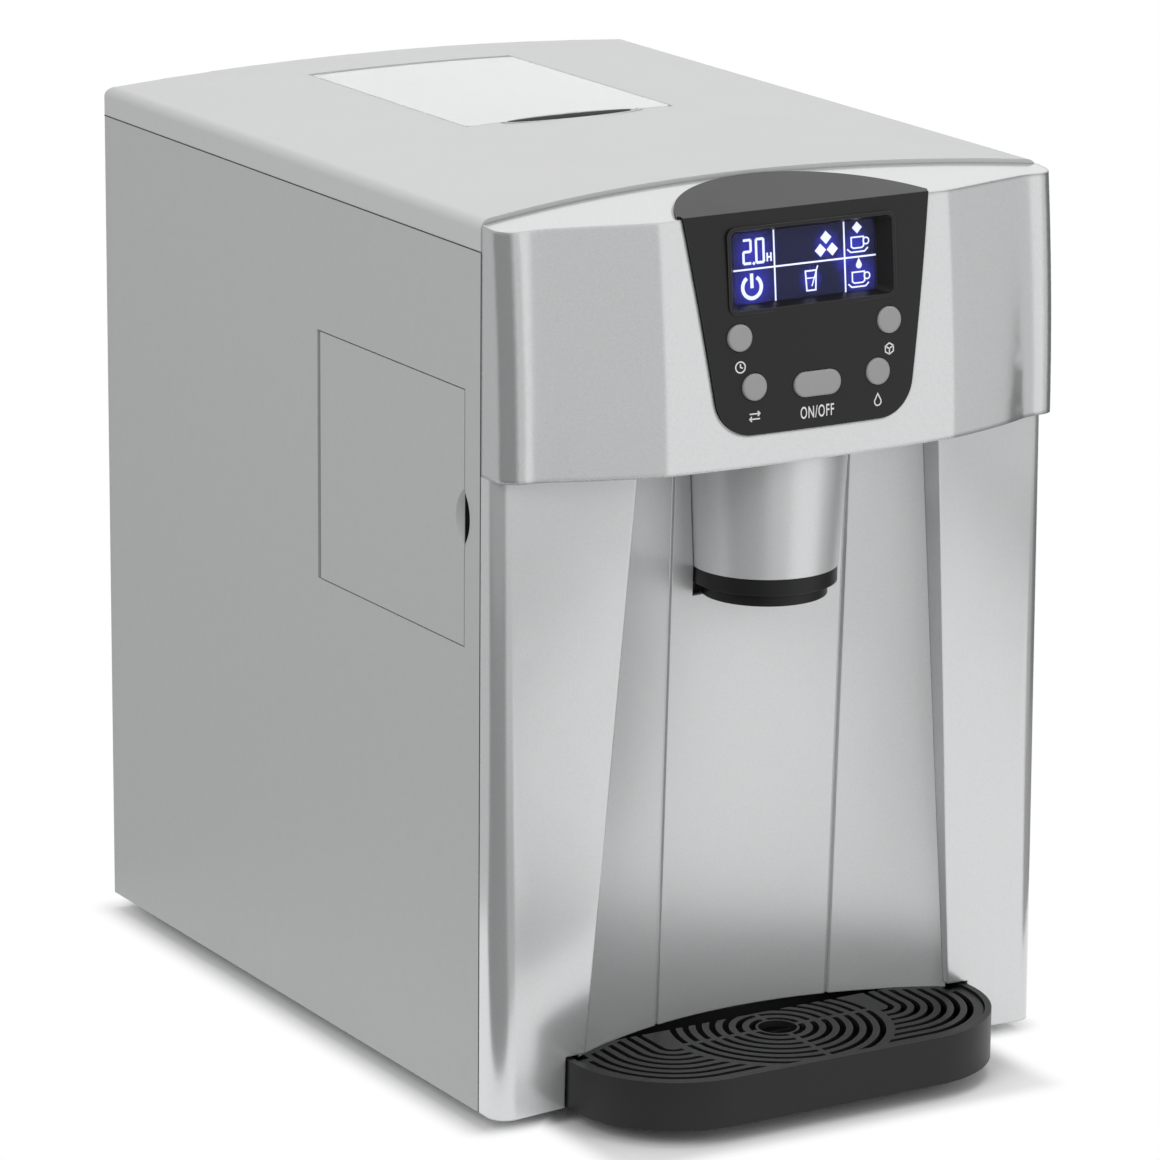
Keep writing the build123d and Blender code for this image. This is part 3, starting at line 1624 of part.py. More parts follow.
# Ice chamber: a deep tub that holds water at its bottom and the ice bin above
tub_y = (back(tub_front_depth), back(tub_rear_depth))
tub_z = (level(tub_low), level(tub_high))
tub_inner = tub_half_width - tub_wall
bin_y = (tub_y[0] + tub_wall + bin_front_gap, back(bin_rear_depth))
ledge_z = level(bin_floor) - bin_wall
strap_z = (tub_z[1] - strap_wall, tub_z[1])
strap_y = (back(evaporator_depth) - strap_half_width, back(pivot_depth) + cheek_half_width)
line_z = tub_z[1] - strap_wall - evaporator_wall / 2
line_xs = (-evaporator_line_x, evaporator_line_x)
fill_y = back(evaporator_depth) - evaporator_half_width - hose_bend
fill_z = level(bin_high) + hose_radius * 2 - pin_gap
tank_places = (
    (fill_pump_x, back(pump_depth)),
    (dispense_pump_x, back(pump_depth)),
    (drain_x, back(tank_drain_depth)),
)
line_gap = pipe_radius + seat_gap
with BuildPart() as inner_tub:
    block((-tub_half_width, tub_half_width), tub_y, tub_z)
    block(
        (-tub_inner, tub_inner),
        (tub_y[0] + tub_wall, tub_y[1] - tub_wall),
        (tub_z[0] + tub_wall, tub_z[1]),
        Mode.SUBTRACT,
    )
    for side in (-1, 1):
        span = sorted((side * tub_inner, side * (tub_inner - bin_ledge)))
        block(span, (bin_y[0], bin_y[1]), (ledge_z - bin_ledge, ledge_z))
    block(
        (-tub_half_width, tub_half_width),
        (strap_y[0] - seat_gap, strap_y[1] + seat_gap),
        strap_z,
        Mode.SUBTRACT,
    )
    snout_gap = trough_radius + bin_wall + seat_gap
    rod((0, tub_y[0], level(auger_height)), (0, 1, 0), snout_gap, tub_wall, Mode.SUBTRACT)
    for x in line_xs:
        block(
            (x - line_gap, x + line_gap),
            (tub_y[1] - tub_wall, tub_y[1]),
            (line_z - line_gap, tub_z[1]),
            Mode.SUBTRACT,
        )
    rod((-tub_half_width, fill_y, fill_z), (1, 0, 0), hose_radius + seat_gap, tub_wall, Mode.SUBTRACT)
    for x, y in tank_places:
        rod((x, y, tub_z[0]), (0, 0, 1), hose_radius - pipe_wall, tub_wall, Mode.SUBTRACT)
inner_tub.part.label = "inner_tub"
export_step(inner_tub.part, "parts/inner_tub.step")

foam_half = tub_half_width + foam_wall
foam_y = (tub_y[0] + tub_wall, tub_y[1] + foam_wall)
foam_z = (tub_z[0] - foam_wall, tub_z[1])
with BuildPart() as insulation:
    block((-foam_half, foam_half), foam_y, foam_z)
    block((-tub_half_width, tub_half_width), (tub_y[0], tub_y[1]), tub_z, Mode.SUBTRACT)
    for x in line_xs:
        block(
            (x - line_gap, x + line_gap),
            (tub_y[1], foam_y[1]),
            (line_z - line_gap, foam_z[1]),
            Mode.SUBTRACT,
        )
    rod((-foam_half, fill_y, fill_z), (1, 0, 0), hose_radius + seat_gap, foam_wall, Mode.SUBTRACT)
    for x, y in tank_places:
        rod((x, y, foam_z[0]), (0, 0, 1), hose_radius + seat_gap, foam_wall, Mode.SUBTRACT)
insulation.part.label = "insulation"
export_step(insulation.part, "parts/insulation.step")

with BuildPart() as inner_cover:
    block(
        (-foam_half + cover_side_inset, foam_half - cover_side_inset),
        (foam_y[0], foam_y[1]),
        (tub_z[1], tub_z[1] + cover_wall),
    )
    block((-well_half, well_half), well_y, (tub_z[0], tub_z[1] + cover_wall), Mode.SUBTRACT)
inner_cover.part.label = "inner_cover"
export_step(inner_cover.part, "parts/inner_cover.step")

# Ice bin: a hopper whose floor slopes to a round trough with a front snout


def bin_profile(grow):
    """The bin's cross-section, grown by a wall."""
    half = bin_half_width - bin_wall
    flat = half - bin_ledge
    high = level(bin_high) + bin_wall
    floor = level(bin_floor)
    trough = level(auger_height)
    drop = math.radians(trough_mouth_angle)
    mouth_x = trough_radius * math.cos(drop)
    mouth_z = trough - trough_radius * math.sin(drop)
    with BuildSketch() as profile:
        with BuildLine():
            Polyline(
                (-half, high),
                (-half, floor),
                (-flat, floor),
                (-mouth_x, mouth_z),
                (mouth_x, mouth_z),
                (flat, floor),
                (half, floor),
                (half, high),
                close=True,
            )
        make_face()
        with Locations((0, trough)):
            Circle(trough_radius)
        offset(amount=grow, kind=Kind.INTERSECTION)
    return profile.sketch


def upright_at(sketch, y):
    """A cross-section stood upright at a depth, facing the front."""
    return Plane.XZ.offset(-y) * sketch


with BuildPart() as ice_bin:
    extrude(upright_at(bin_profile(bin_wall), bin_y[1]), amount=bin_y[1] - bin_y[0])
    inner_length = bin_y[1] - bin_y[0] - bin_wall * 2
    extrude(upright_at(bin_profile(0), bin_y[1] - bin_wall), amount=inner_length, mode=Mode.SUBTRACT)
    block(
        (-bin_half_width, bin_half_width),
        (bin_y[0], bin_y[1]),
        (level(bin_high), level(bin_high) + bin_wall * 3),
        Mode.SUBTRACT,
    )
    block(
        (-bin_half_width, bin_half_width),
        (bin_y[1] - bin_wall, bin_y[1]),
        (level(bin_rear_high), level(bin_high)),
        Mode.SUBTRACT,
    )
    snout_y = guide_y[1] + seat_gap
    snout_start = (0, snout_y, level(auger_height))
    rod(snout_start, (0, 1, 0), trough_radius + bin_wall, bin_y[0] - snout_y)
    rod(snout_start, (0, 1, 0), trough_radius, bin_y[0] + bin_wall - snout_y, Mode.SUBTRACT)
    rod(
        (0, bin_y[1] - bin_wall, level(auger_height)),
        (0, 1, 0),
        bearing_radius + pin_gap,
        bin_wall,
        Mode.SUBTRACT,
    )
ice_bin.part.label = "ice_bin"
export_step(ice_bin.part, "parts/ice_bin.step")

# Auger: a helical wire on a shaft that carries the ice to the snout
gear_y = (bin_y[1] + gear_gap, bin_y[1] + gear_gap + gear_width)
plate_y = (gear_y[1] + gear_gap, gear_y[1] + gear_gap + drive_plate_wall)
wire_start = back(auger_front_depth) + auger_wire_wall
wire_end = bin_y[1] - bin_wall - bearing_flange - auger_wire_wall * 2
with BuildPart() as auger:
    rod(
        (0, back(auger_front_depth), level(auger_height)),
        (0, 1, 0),
        auger_shaft_radius,
        plate_y[1] - back(auger_front_depth),
    )
    bearing_y = bin_y[1] - bin_wall - bearing_flange
    rod((0, bearing_y, level(auger_height)), (0, 1, 0), auger_radius, bearing_flange - seat_gap)
    rod((0, bearing_y, level(auger_height)), (0, 1, 0), bearing_radius, bin_wall + bearing_flange)
    coil = auger_radius - auger_wire_wall
    with BuildPart(mode=Mode.PRIVATE) as wire:
        run = wire_end - wire_start
        with BuildLine() as helix:
            Helix(pitch=run / auger_turns, height=run, radius=coil)
        with BuildSketch(Plane(origin=helix.line @ 0, z_dir=helix.line % 0)) as wire_profile:
            Circle(auger_wire_wall)
        sweep(sections=wire_profile.sketch, path=helix.line, is_frenet=True)
    add(wire.part.moved(Location((0, wire_end, level(auger_height)), (quarter_turn, 0, 0))))
    for share in range(auger_turns * 2 + 1):
        y = wire_end - run * share / (auger_turns * 2)
        side = 1 if share % 2 == 0 else -1
        rod((0, y, level(auger_height)), (side, 0, 0), auger_wire_wall * spoke_share, coil)
    rod((0, wire_end, level(auger_height)), (0, 1, 0), auger_wire_wall, bearing_y - wire_end)
    with Locations((coil, (wire_end + bearing_y) / 2, level(auger_height))):
        Box(auger_wire_wall, bearing_y - wire_end, auger_wire_wall)
auger.part.label = "auger"
export_step(auger.part, "parts/auger.step")

# Gears between the auger and its motor


def gear_outline(teeth, turn):
    """A spur gear's outline with involute flanks; turn is the angle of its first tooth."""
    pitch = gear_module * teeth / 2
    base = pitch * math.cos(math.radians(pressure_angle))
    tip = pitch + gear_module * tooth_addendum_share
    root = pitch - gear_module * tooth_dedendum_share
    spread = math.tan(math.radians(pressure_angle)) - math.radians(pressure_angle)
    half_pitch = math.pi / (2 * teeth) - tooth_backlash / (4 * pitch)
    flank = []
    for step in range(flank_steps + 1):
        radius = max(base, root) + (tip - max(base, root)) * step / flank_steps
        slope = math.acos(min(1, base / radius))
        flank.append((radius, half_pitch + spread - (math.tan(slope) - slope)))
    points = []
    for tooth in range(teeth):
        centre = turn + 2 * math.pi * tooth / teeth
        points.append((root, centre - flank[0][1]))
        points += [(radius, centre - half) for radius, half in flank]
        points += [(radius, centre + half) for radius, half in reversed(flank)]
        points.append((root, centre + flank[0][1]))
    corners = [(radius * math.cos(angle), radius * math.sin(angle)) for radius, angle in points]
    unique = [corners[0]]
    for corner in corners[1:]:
        if math.dist(corner, unique[-1]) > tooth_detail:
            unique.append(corner)
    with BuildSketch() as outline:
        with BuildLine():
            Polyline(*unique, close=True)
        make_face()
    return outline.sketch


centre_distance = gear_module * (gear_teeth + pinion_teeth) / 2
pinion_height = auger_height - centre_distance
tooth_down = -math.pi / 2
with BuildPart() as auger_gear:
    outline = upright_at(gear_outline(gear_teeth, tooth_down), gear_y[1])
    extrude(outline.moved(Location((0, 0, level(auger_height)))), amount=gear_width)
    rod((0, gear_y[0], level(auger_height)), (0, 1, 0), auger_shaft_radius, gear_width, Mode.SUBTRACT)
auger_gear.part.label = "auger_gear"
export_step(auger_gear.part, "parts/auger_gear.step")

with BuildPart() as motor_pinion:
    outline = upright_at(gear_outline(pinion_teeth, math.pi / 2 + math.pi / pinion_teeth), gear_y[1])
    extrude(outline.moved(Location((0, 0, level(pinion_height)))), amount=gear_width)
    rod((0, gear_y[1], level(pinion_height)), (0, 1, 0), motor_shaft_radius, motor_shaft_length)
motor_pinion.part.label = "motor_pinion"
export_step(motor_pinion.part, "parts/motor_pinion.step")

with BuildPart() as drive_plate:
    plate_z = (level(pinion_height) - motor_radius, level(drive_plate_high))
    block((-drive_plate_half, drive_plate_half), plate_y, plate_z)
    for x, rise in drive_post_places:
        for side in (-1, 1):
            post_start = (side * x, bin_y[1], level(auger_height + rise))
            rod(post_start, (0, 1, 0), drive_post_radius, plate_y[0] - bin_y[1])
    for height, radius in ((auger_height, auger_shaft_radius), (pinion_height, motor_shaft_radius)):
        hole_start = (0, plate_y[0], level(height))
        rod(hole_start, (0, 1, 0), radius + pin_gap, drive_plate_wall, Mode.SUBTRACT)
drive_plate.part.label = "drive_plate"
export_step(drive_plate.part, "parts/drive_plate.step")

with BuildPart() as auger_motor:
    rod((0, plate_y[1], level(pinion_height)), (0, 1, 0), motor_radius, motor_length)
    rod(
        (0, plate_y[1], level(pinion_height)),
        (0, 1, 0),
        motor_shaft_radius + pin_gap,
        motor_shaft_length - gear_gap - drive_plate_wall + seat_gap,
        Mode.SUBTRACT,
    )
    fillet(auger_motor.edges().group_by(Axis.Y)[-1], pump_round)
auger_motor.part.label = "auger_motor"
export_step(auger_motor.part, "parts/auger_motor.step")

# Freezing unit: a cold plate with fingers that dip into a tilting water tray
evaporator_z = (strap_z[0] - evaporator_wall, strap_z[0])
finger_y = back(evaporator_depth)
with BuildPart() as evaporator:
    block(
        (-evaporator_half_length, evaporator_half_length),
        (finger_y - evaporator_half_width, finger_y + evaporator_half_width),
        evaporator_z,
    )
    with Locations((0, finger_y, evaporator_z[0] - finger_length)):
        with GridLocations(finger_pitch, finger_pitch, finger_columns, finger_rows):
            Cylinder(finger_radius, finger_length, align=upright)
    fillet(evaporator.edges().group_by(Axis.Z)[0], finger_radius / 2)
evaporator.part.label = "evaporator"
export_step(evaporator.part, "parts/evaporator.step")

pivot_y = back(pivot_depth)
pivot_z = level(pivot_height)
cheek_z = (pivot_z - cheek_half_width, strap_z[0])
with BuildPart() as evaporator_bracket:
    block((-tub_half_width, tub_half_width), strap_y, strap_z)
    block(
        (-evaporator_half_length + finger_pitch / 2, evaporator_half_length - finger_pitch / 2),
        (finger_y + evaporator_half_width, strap_y[1]),
        strap_z,
        Mode.SUBTRACT,
    )
    for side in (-1, 1):
        span = sorted((side * cheek_x, side * (cheek_x + strap_wall)))
        block(span, (pivot_y - cheek_half_width, pivot_y + cheek_half_width), cheek_z)
        hole_start = (side * cheek_x, pivot_y, pivot_z)
        rod(hole_start, (side, 0, 0), pivot_radius + pin_gap, strap_wall, Mode.SUBTRACT)
evaporator_bracket.part.label = "evaporator_bracket"
export_step(evaporator_bracket.part, "parts/evaporator_bracket.step")

with BuildPart() as water_tray:
    cup_y = (pivot_y - cup_front, pivot_y - cup_rear)
    cup_z = (pivot_z - cup_low, pivot_z + cup_high)
    block((-cup_half_length, cup_half_length), cup_y, cup_z)
    fillet(water_tray.edges().filter_by(Axis.X).group_by(Axis.Z)[0], cup_rear)
    for side in (-1, 1):
        arm = sorted((side * cup_half_length, side * (cup_half_length - cup_wall)))
        block(arm, (cup_y[1] - cup_rear, pivot_y), (pivot_z - cup_rear, pivot_z + cup_high))
        rod((side * cup_half_length, pivot_y, pivot_z), (-side, 0, 0), cup_rear, cup_wall)
        pin_length = cheek_x + strap_wall - cup_half_length
        reach_in = tilt_pin_reach if side > 0 else 0
        rod((side * cup_half_length, pivot_y, pivot_z), (side, 0, 0), pivot_radius, pin_length + reach_in)
    block(
        (-cup_half_length + cup_wall, cup_half_length - cup_wall),
        (cup_y[0] + cup_wall, cup_y[1] - cup_wall),
        (cup_z[0] + cup_wall, cup_z[1]),
        Mode.SUBTRACT,
    )
    # Rake: a row of tines that pushes the ice over the slide
    rake_start = cup_low - cup_wall / 2
    turn = math.radians(rake_angle)
    rake_dir = (-math.sin(turn), -math.cos(turn))
    for tine in range(rake_tines):
        x = rake_pitch * (tine - (rake_tines - 1) / 2)
        with BuildSketch(Plane.YZ.offset(x - rake_tine_width / 2)) as tine_shape:
            middle = (rake_start + rake_radius) / 2
            with Locations((pivot_y + rake_dir[0] * middle, pivot_z + rake_dir[1] * middle)):
                Rectangle(rake_wall, rake_radius - rake_start, rotation=-rake_angle)
        extrude(tine_shape.sketch, amount=rake_tine_width)
water_tray.part.label = "water_tray"
export_step(water_tray.part, "parts/water_tray.step")

with BuildPart() as tilt_motor:
    motor_x = cheek_x + strap_wall
    rod((motor_x, pivot_y, pivot_z), (1, 0, 0), tilt_motor_radius, tilt_motor_length)
    fillet(tilt_motor.edges().group_by(Axis.X)[-1], pump_round)
    hole_start = (motor_x, pivot_y, pivot_z)
    rod(hole_start, (1, 0, 0), pivot_radius + pin_gap, tilt_pin_reach + seat_gap, Mode.SUBTRACT)
tilt_motor.part.label = "tilt_motor"
export_step(tilt_motor.part, "parts/tilt_motor.step")

with BuildPart() as ice_slide:
    with BuildSketch(Plane.YZ.offset(-tub_inner)):
        with BuildLine():
            front_turn = -math.radians(quarter_turn + slide_front_angle)
            rear_turn = -math.radians(quarter_turn - slide_rear_angle)
            low_turn = (front_turn + rear_turn) / 2
            rims = [
                [
                    (pivot_y + radius * math.cos(angle), pivot_z + radius * math.sin(angle))
                    for angle in (front_turn, low_turn, rear_turn)
                ]
                for radius in (slide_radius, slide_radius + slide_wall)
            ]
            ThreePointArc(*rims[0])
            Line(rims[0][2], rims[1][2])
            ThreePointArc(*rims[1])
            Line(rims[1][0], rims[0][0])
        make_face()
    extrude(amount=tub_inner * 2)
ice_slide.part.label = "ice_slide"
export_step(ice_slide.part, "parts/ice_slide.step")

# Compressor on a foot plate with rubber grommets
compressor_y = back(compressor_depth)
grommet_reach = compressor_foot_reach / math.sqrt(2)
grommet_places = [
    (compressor_x + x_sign * grommet_reach, compressor_y + y_sign * grommet_reach)
    for x_sign in (-1, 1)
    for y_sign in (-1, 1)
]
foot_z = level(pan_wall + grommet_height - compressor_foot_wall * 2)
with BuildPart() as compressor:
    shell_start = (compressor_x, compressor_y, level(compressor_low))
    rod(shell_start, (0, 0, 1), compressor_radius, compressor_height)
    fillet(compressor.edges().filter_by(GeomType.CIRCLE), compressor_round)
    seam_z = level(compressor_low) + compressor_height / 2
    seam_start = (compressor_x, compressor_y, seam_z)
    rod(seam_start, (0, 0, 1), compressor_radius + compressor_seam, compressor_foot_wall)
    neck_start = (compressor_x, compressor_y, foot_z)
    neck_length = level(compressor_low) + compressor_foot_wall - foot_z
    rod(neck_start, (0, 0, 1), compressor_radius / 2, neck_length)
    arm_length = (compressor_foot_reach + compressor_foot_width / 2) * 2
    with Locations((compressor_x, compressor_y, foot_z + compressor_foot_wall / 2)):
        for turn in (compressor_arm_angle, -compressor_arm_angle):
            with Locations(Rotation(0, 0, turn)):
                Box(compressor_foot_width, arm_length, compressor_foot_wall)
    foot_hole = grommet_radius - compressor_foot_wall
    for x, y in grommet_places:
        rod((x, y, foot_z), (0, 0, 1), foot_hole, compressor_foot_wall, Mode.SUBTRACT)
compressor.part.label = "compressor"
export_step(compressor.part, "parts/compressor.step")

with BuildPart() as grommets:
    for x, y in grommet_places:
        rod((x, y, level(pan_wall)), (0, 0, 1), grommet_radius, grommet_height)
        rod((x, y, foot_z), (0, 0, 1), grommet_radius, compressor_foot_wall, Mode.SUBTRACT)
        rod((x, y, foot_z), (0, 0, 1), grommet_radius - compressor_foot_wall, compressor_foot_wall)
grommets.part.label = "grommets"
export_step(grommets.part, "parts/grommets.step")

# Condenser: upright fins on flat serpentine tubes
condenser_y = (back(condenser_depth) - condenser_half_length, back(condenser_depth) + condenser_half_length)
fin_count = int(condenser_half_length * 2 / fin_pitch)
tube_pitch = condenser_height / fin_tube_rows
with BuildPart() as condenser:
    for fin in range(fin_count + 1):
        y = condenser_y[0] + fin * (condenser_half_length * 2 - fin_wall) / fin_count
        block(
            (condenser_x - condenser_half_thick, condenser_x + condenser_half_thick),
            (y, y + fin_wall),
            (level(condenser_low), level(condenser_low + condenser_height)),
        )
    turns = (condenser_y[0] - fin_tube_reach, condenser_y[1] + fin_tube_reach)
    ends = [condenser_y[1] + fin_tube_radius * 2] + [turns[row % 2] for row in range(fin_tube_rows)]
    ends[-1] = ends[0]
    serpentine = []
    for row in range(fin_tube_rows):
        z = level(condenser_low) + tube_pitch * (row + 0.5)
        serpentine.append((condenser_x, ends[row], z))
        serpentine.append((condenser_x, ends[row + 1], z))
    tube(serpentine, fin_tube_radius, fin_tube_bend)
    block(
        (condenser_x - condenser_half_thick, condenser_x + condenser_half_thick),
        (condenser_y[0], condenser_y[0] + fin_wall),
        (underside + pan_wall, level(condenser_low)),
    )
    block(
        (condenser_x - condenser_half_thick, condenser_x + condenser_half_thick),
        (condenser_y[1] - fin_wall, condenser_y[1]),
        (underside + pan_wall, level(condenser_low)),
    )
condenser.part.label = "condenser"
export_step(condenser.part, "parts/condenser.step")

# Fan: a shroud on the condenser, a motor on three arms, and the blades
shroud_x = (condenser_x - condenser_half_thick - fan_shroud_wall, condenser_x - condenser_half_thick)
fan_y = back(condenser_depth)
fan_z = level(condenser_low + condenser_height / 2)
fan_x = (shroud_x[0] - fan_gap - fan_depth, shroud_x[0] - fan_gap)
with BuildPart() as fan_shroud:
    block(shroud_x, condenser_y, (level(condenser_low), level(condenser_low + condenser_height)))
    ring_start = (shroud_x[0] - fan_ring_depth, fan_y, fan_z)
    rod(ring_start, (1, 0, 0), fan_opening + fan_shroud_wall, fan_ring_depth)
    rod(ring_start, (1, 0, 0), fan_opening, fan_ring_depth + fan_shroud_wall, Mode.SUBTRACT)
    arm_x = (shroud_x[0] - fan_ring_depth - fan_shroud_wall, shroud_x[0] - fan_ring_depth)
    for arm in range(fan_arms):
        turn = full_turn * arm / fan_arms
        with Locations(Location(((arm_x[0] + arm_x[1]) / 2, fan_y, fan_z), (turn, 0, 0))):
            Box(fan_shroud_wall, fan_arm_width, fan_opening + fan_shroud_wall, align=upright)
    seat_start = (arm_x[0], fan_y, fan_z)
    rod(seat_start, (1, 0, 0), fan_motor_radius, fan_shroud_wall)
    rod(seat_start, (1, 0, 0), motor_shaft_radius + pin_gap, fan_shroud_wall, Mode.SUBTRACT)
fan_shroud.part.label = "fan_shroud"
export_step(fan_shroud.part, "parts/fan_shroud.step")

with BuildPart() as fan_rotor:
    rod((fan_x[0], fan_y, fan_z), (1, 0, 0), fan_hub_radius, fan_depth)
    for blade in range(fan_blades):
        turn = full_turn * blade / fan_blades
        with Locations(Location(((fan_x[0] + fan_x[1]) / 2, fan_y, fan_z), (turn, 0, 0))):
            with Locations(Location((0, 0, 0), (0, 0, blade_pitch))):
                Box(fan_blade_wall, fan_depth * blade_width_share, fan_radius, align=upright)
    shaft_start = (arm_x[0] - fan_shaft_reach, fan_y, fan_z)
    rod(shaft_start, (1, 0, 0), motor_shaft_radius, fan_x[0] - arm_x[0] + fan_shaft_reach)
    rod(shaft_start, (1, 0, 0), fan_radius, fan_x[1] - arm_x[0] + fan_shaft_reach, Mode.INTERSECT)
fan_rotor.part.label = "fan_rotor"
export_step(fan_rotor.part, "parts/fan_rotor.step")

with BuildPart() as fan_motor:
    rod(seat_start, (-1, 0, 0), fan_motor_radius, fan_motor_length)
    fillet(fan_motor.edges().group_by(Axis.X)[0], pump_round)
    rod(seat_start, (-1, 0, 0), motor_shaft_radius + pin_gap, fan_shaft_reach + seat_gap, Mode.SUBTRACT)
fan_motor.part.label = "fan_motor"
export_step(fan_motor.part, "parts/fan_motor.step")

# Cooling circuit: pipes between the compressor, the condenser and the evaporator, with a drier
pipe_y = foam_y[1] + pipe_rear_gap
evaporator_rear = finger_y + evaporator_half_width
low_tube_z = level(condenser_low) + tube_pitch / 2
high_tube_z = level(condenser_low) + tube_pitch * (fin_tube_rows - 0.5)
condenser_end = condenser_y[1] + fin_tube_radius
shell_y = compressor_y + compressor_radius
suction_z = high_tube_z - suction_drop
drier_x = inlet_x - inlet_half - drier_radius * 2
drier_z = (level(inlet_low + inlet_height), level(inlet_low + inlet_height) + drier_length)
with BuildPart() as refrigerant_pipes:
    tube(
        [
            (compressor_x, shell_y, high_tube_z),
            (compressor_x, condenser_end, high_tube_z),
            (condenser_x - fin_tube_radius, condenser_end, high_tube_z),
        ],
        pipe_radius,
        pipe_bend,
    )
    tube(
        [
            (compressor_x, shell_y, suction_z),
            (compressor_x, pipe_y, suction_z),
            (compressor_x, pipe_y, line_z),
            (line_xs[0], pipe_y, line_z),
            (line_xs[0], evaporator_rear, line_z),
        ],
        pipe_radius,
        pipe_bend,
    )
    tube(
        [
            (condenser_x - fin_tube_radius, condenser_end, low_tube_z),
            (drier_x, condenser_end, low_tube_z),
            (drier_x, pipe_y, low_tube_z),
            (drier_x, pipe_y, drier_z[1] + drier_radius),
        ],
        pipe_radius,
        pipe_bend,
    )
    rod((drier_x, pipe_y, drier_z[0]), (0, 0, 1), drier_radius, drier_length)
    tube(
        [
            (drier_x, pipe_y, drier_z[1]),
            (drier_x, pipe_y, line_z),
            (line_xs[1], pipe_y, line_z),
            (line_xs[1], evaporator_rear, line_z),
        ],
        pipe_radius,
        pipe_bend,
    )
refrigerant_pipes.part.label = "refrigerant_pipes"
export_step(refrigerant_pipes.part, "parts/refrigerant_pipes.step")

# Pumps: one fills the water tray and one feeds the spout
pump_y = back(pump_depth)
pump_z = (level(pan_wall), level(pan_wall + pump_base_wall + pump_length))
port_z = level(pan_wall + pump_base_wall) + pump_length / 2
pumps = (("dispense_pump", dispense_pump_x, (0, -1, 0)), ("fill_pump", fill_pump_x, (-1, 0, 0)))
for name, x, side in pumps:
    with BuildPart() as pump:
        block(
            (x - pump_radius - pump_base_wall, x + pump_radius + pump_base_wall),
            (pump_y - pump_radius, pump_y + pump_radius),
            (pump_z[0], pump_z[0] + pump_base_wall),
        )
        rod((x, pump_y, pump_z[0]), (0, 0, 1), pump_radius, pump_z[1] - pump_z[0])
        fillet(pump.edges().filter_by(GeomType.CIRCLE).group_by(Axis.Z)[-1], pump_round)
        rod((x, pump_y, pump_z[1] - pump_length / 3), (0, 0, 1), pump_radius + pump_round, pump_base_wall)
        rod((x, pump_y, port_z), side, hose_radius + pipe_wall, pump_radius + pump_base_wall)
    pump.part.label = name
    export_step(pump.part, f"parts/{name}.step")

# Hoses between the tub, the pumps, the spout, the water tray and the drain
tap_x = groove_x + alcove_wall + pump_radius
riser_y = (back(alcove_depth_low) + tub_y[0]) / 2 - alcove_wall
over_z = level(spout_high) + hose_radius + hose_bend / 2 + pin_gap
fill_x = -foam_half - hose_radius * 2
drain_z = level(drain_low)
port_reach = pump_radius + pump_base_wall
with BuildPart() as water_hoses:
    for x in (dispense_pump_x, fill_pump_x):
        rod((x, pump_y, pump_z[1]), (0, 0, 1), hose_radius, tub_z[0] - pump_z[1])
    tube(
        [
            (dispense_pump_x, pump_y - port_reach, port_z),
            (dispense_pump_x, pump_y - port_reach * 2, port_z),
            (tap_x, pump_y - port_reach * 2, port_z),
            (tap_x, riser_y, port_z),
            (tap_x, riser_y, over_z),
            (tap_x, spout_y, over_z),
            (0, spout_y, over_z),
            (0, spout_y, level(spout_high)),
        ],
        hose_radius,
        hose_bend,
    )
    tube(
        [
            (fill_pump_x - port_reach, pump_y, port_z),
            (fill_x, pump_y, port_z),
            (fill_x, fill_y, port_z),
            (fill_x, fill_y, fill_z),
            (-evaporator_half_length + finger_pitch / 2, fill_y, fill_z),
            (-evaporator_half_length + finger_pitch / 2, fill_y + hose_bend + hose_radius, fill_z),
        ],
        hose_radius,
        hose_bend,
    )
    tube(
        [
            (drain_x, back(tank_drain_depth), tub_z[0]),
            (drain_x, back(tank_drain_depth), drain_z),
            (drain_x, back_face - drain_length, drain_z),
        ],
        hose_radius,
        hose_bend,
    )
    rod((drain_x, back_face - drain_length, drain_z), (0, 1, 0), drain_radius, drain_length)
    drain_mouth = (drain_x, back_face, drain_z)
    rod(drain_mouth, (0, -1, 0), drain_radius - drain_wall, drain_plug_length + seat_gap, Mode.SUBTRACT)
water_hoses.part.label = "water_hoses"
export_step(water_hoses.part, "parts/water_hoses.step")

with BuildPart() as drain_plug:
    rod(drain_mouth, (0, -1, 0), drain_radius - drain_wall - pin_gap, drain_plug_length)
    rod(drain_mouth, (0, 1, 0), drain_plug_flange, drain_plug_head)
    fillet(drain_plug.edges().group_by(Axis.Y)[-1], button_round)
drain_plug.part.label = "drain_plug"
export_step(drain_plug.part, "parts/drain_plug.step")

# Power electronics on the left panel, and the inlet at the rear
board_x = (-inner_half + standoff_length, -inner_half + standoff_length + circuit_wall)
board_y = (back(circuit_depth), back(circuit_depth) + circuit_length)
board_z = (level(circuit_low), level(circuit_low) + circuit_height)
with BuildPart() as power_board:
    block(board_x, board_y, board_z)
    for y in (board_y[0] + foot_radius / 2, board_y[1] - foot_radius / 2):
        for z in (board_z[0] + foot_radius / 2, board_z[1] - foot_radius / 2):
            rod((-inner_half, y, z), (1, 0, 0), post_radius, standoff_length)
    for shares, (depth, width, height) in zip(component_corner_shares, component_sizes):
        y = board_y[0] + circuit_length * shares[0]
        z = board_z[0] + circuit_height * shares[1]
        block((board_x[1], board_x[1] + depth), (y, y + width), (z, z + height))
    for share in capacitor_shares:
        y = board_y[0] + circuit_length * share
        rod((board_x[1], y, board_z[0] + circuit_height / 2), (1, 0, 0), capacitor_radius, capacitor_length)
power_board.part.label = "power_board"
export_step(power_board.part, "parts/power_board.step")

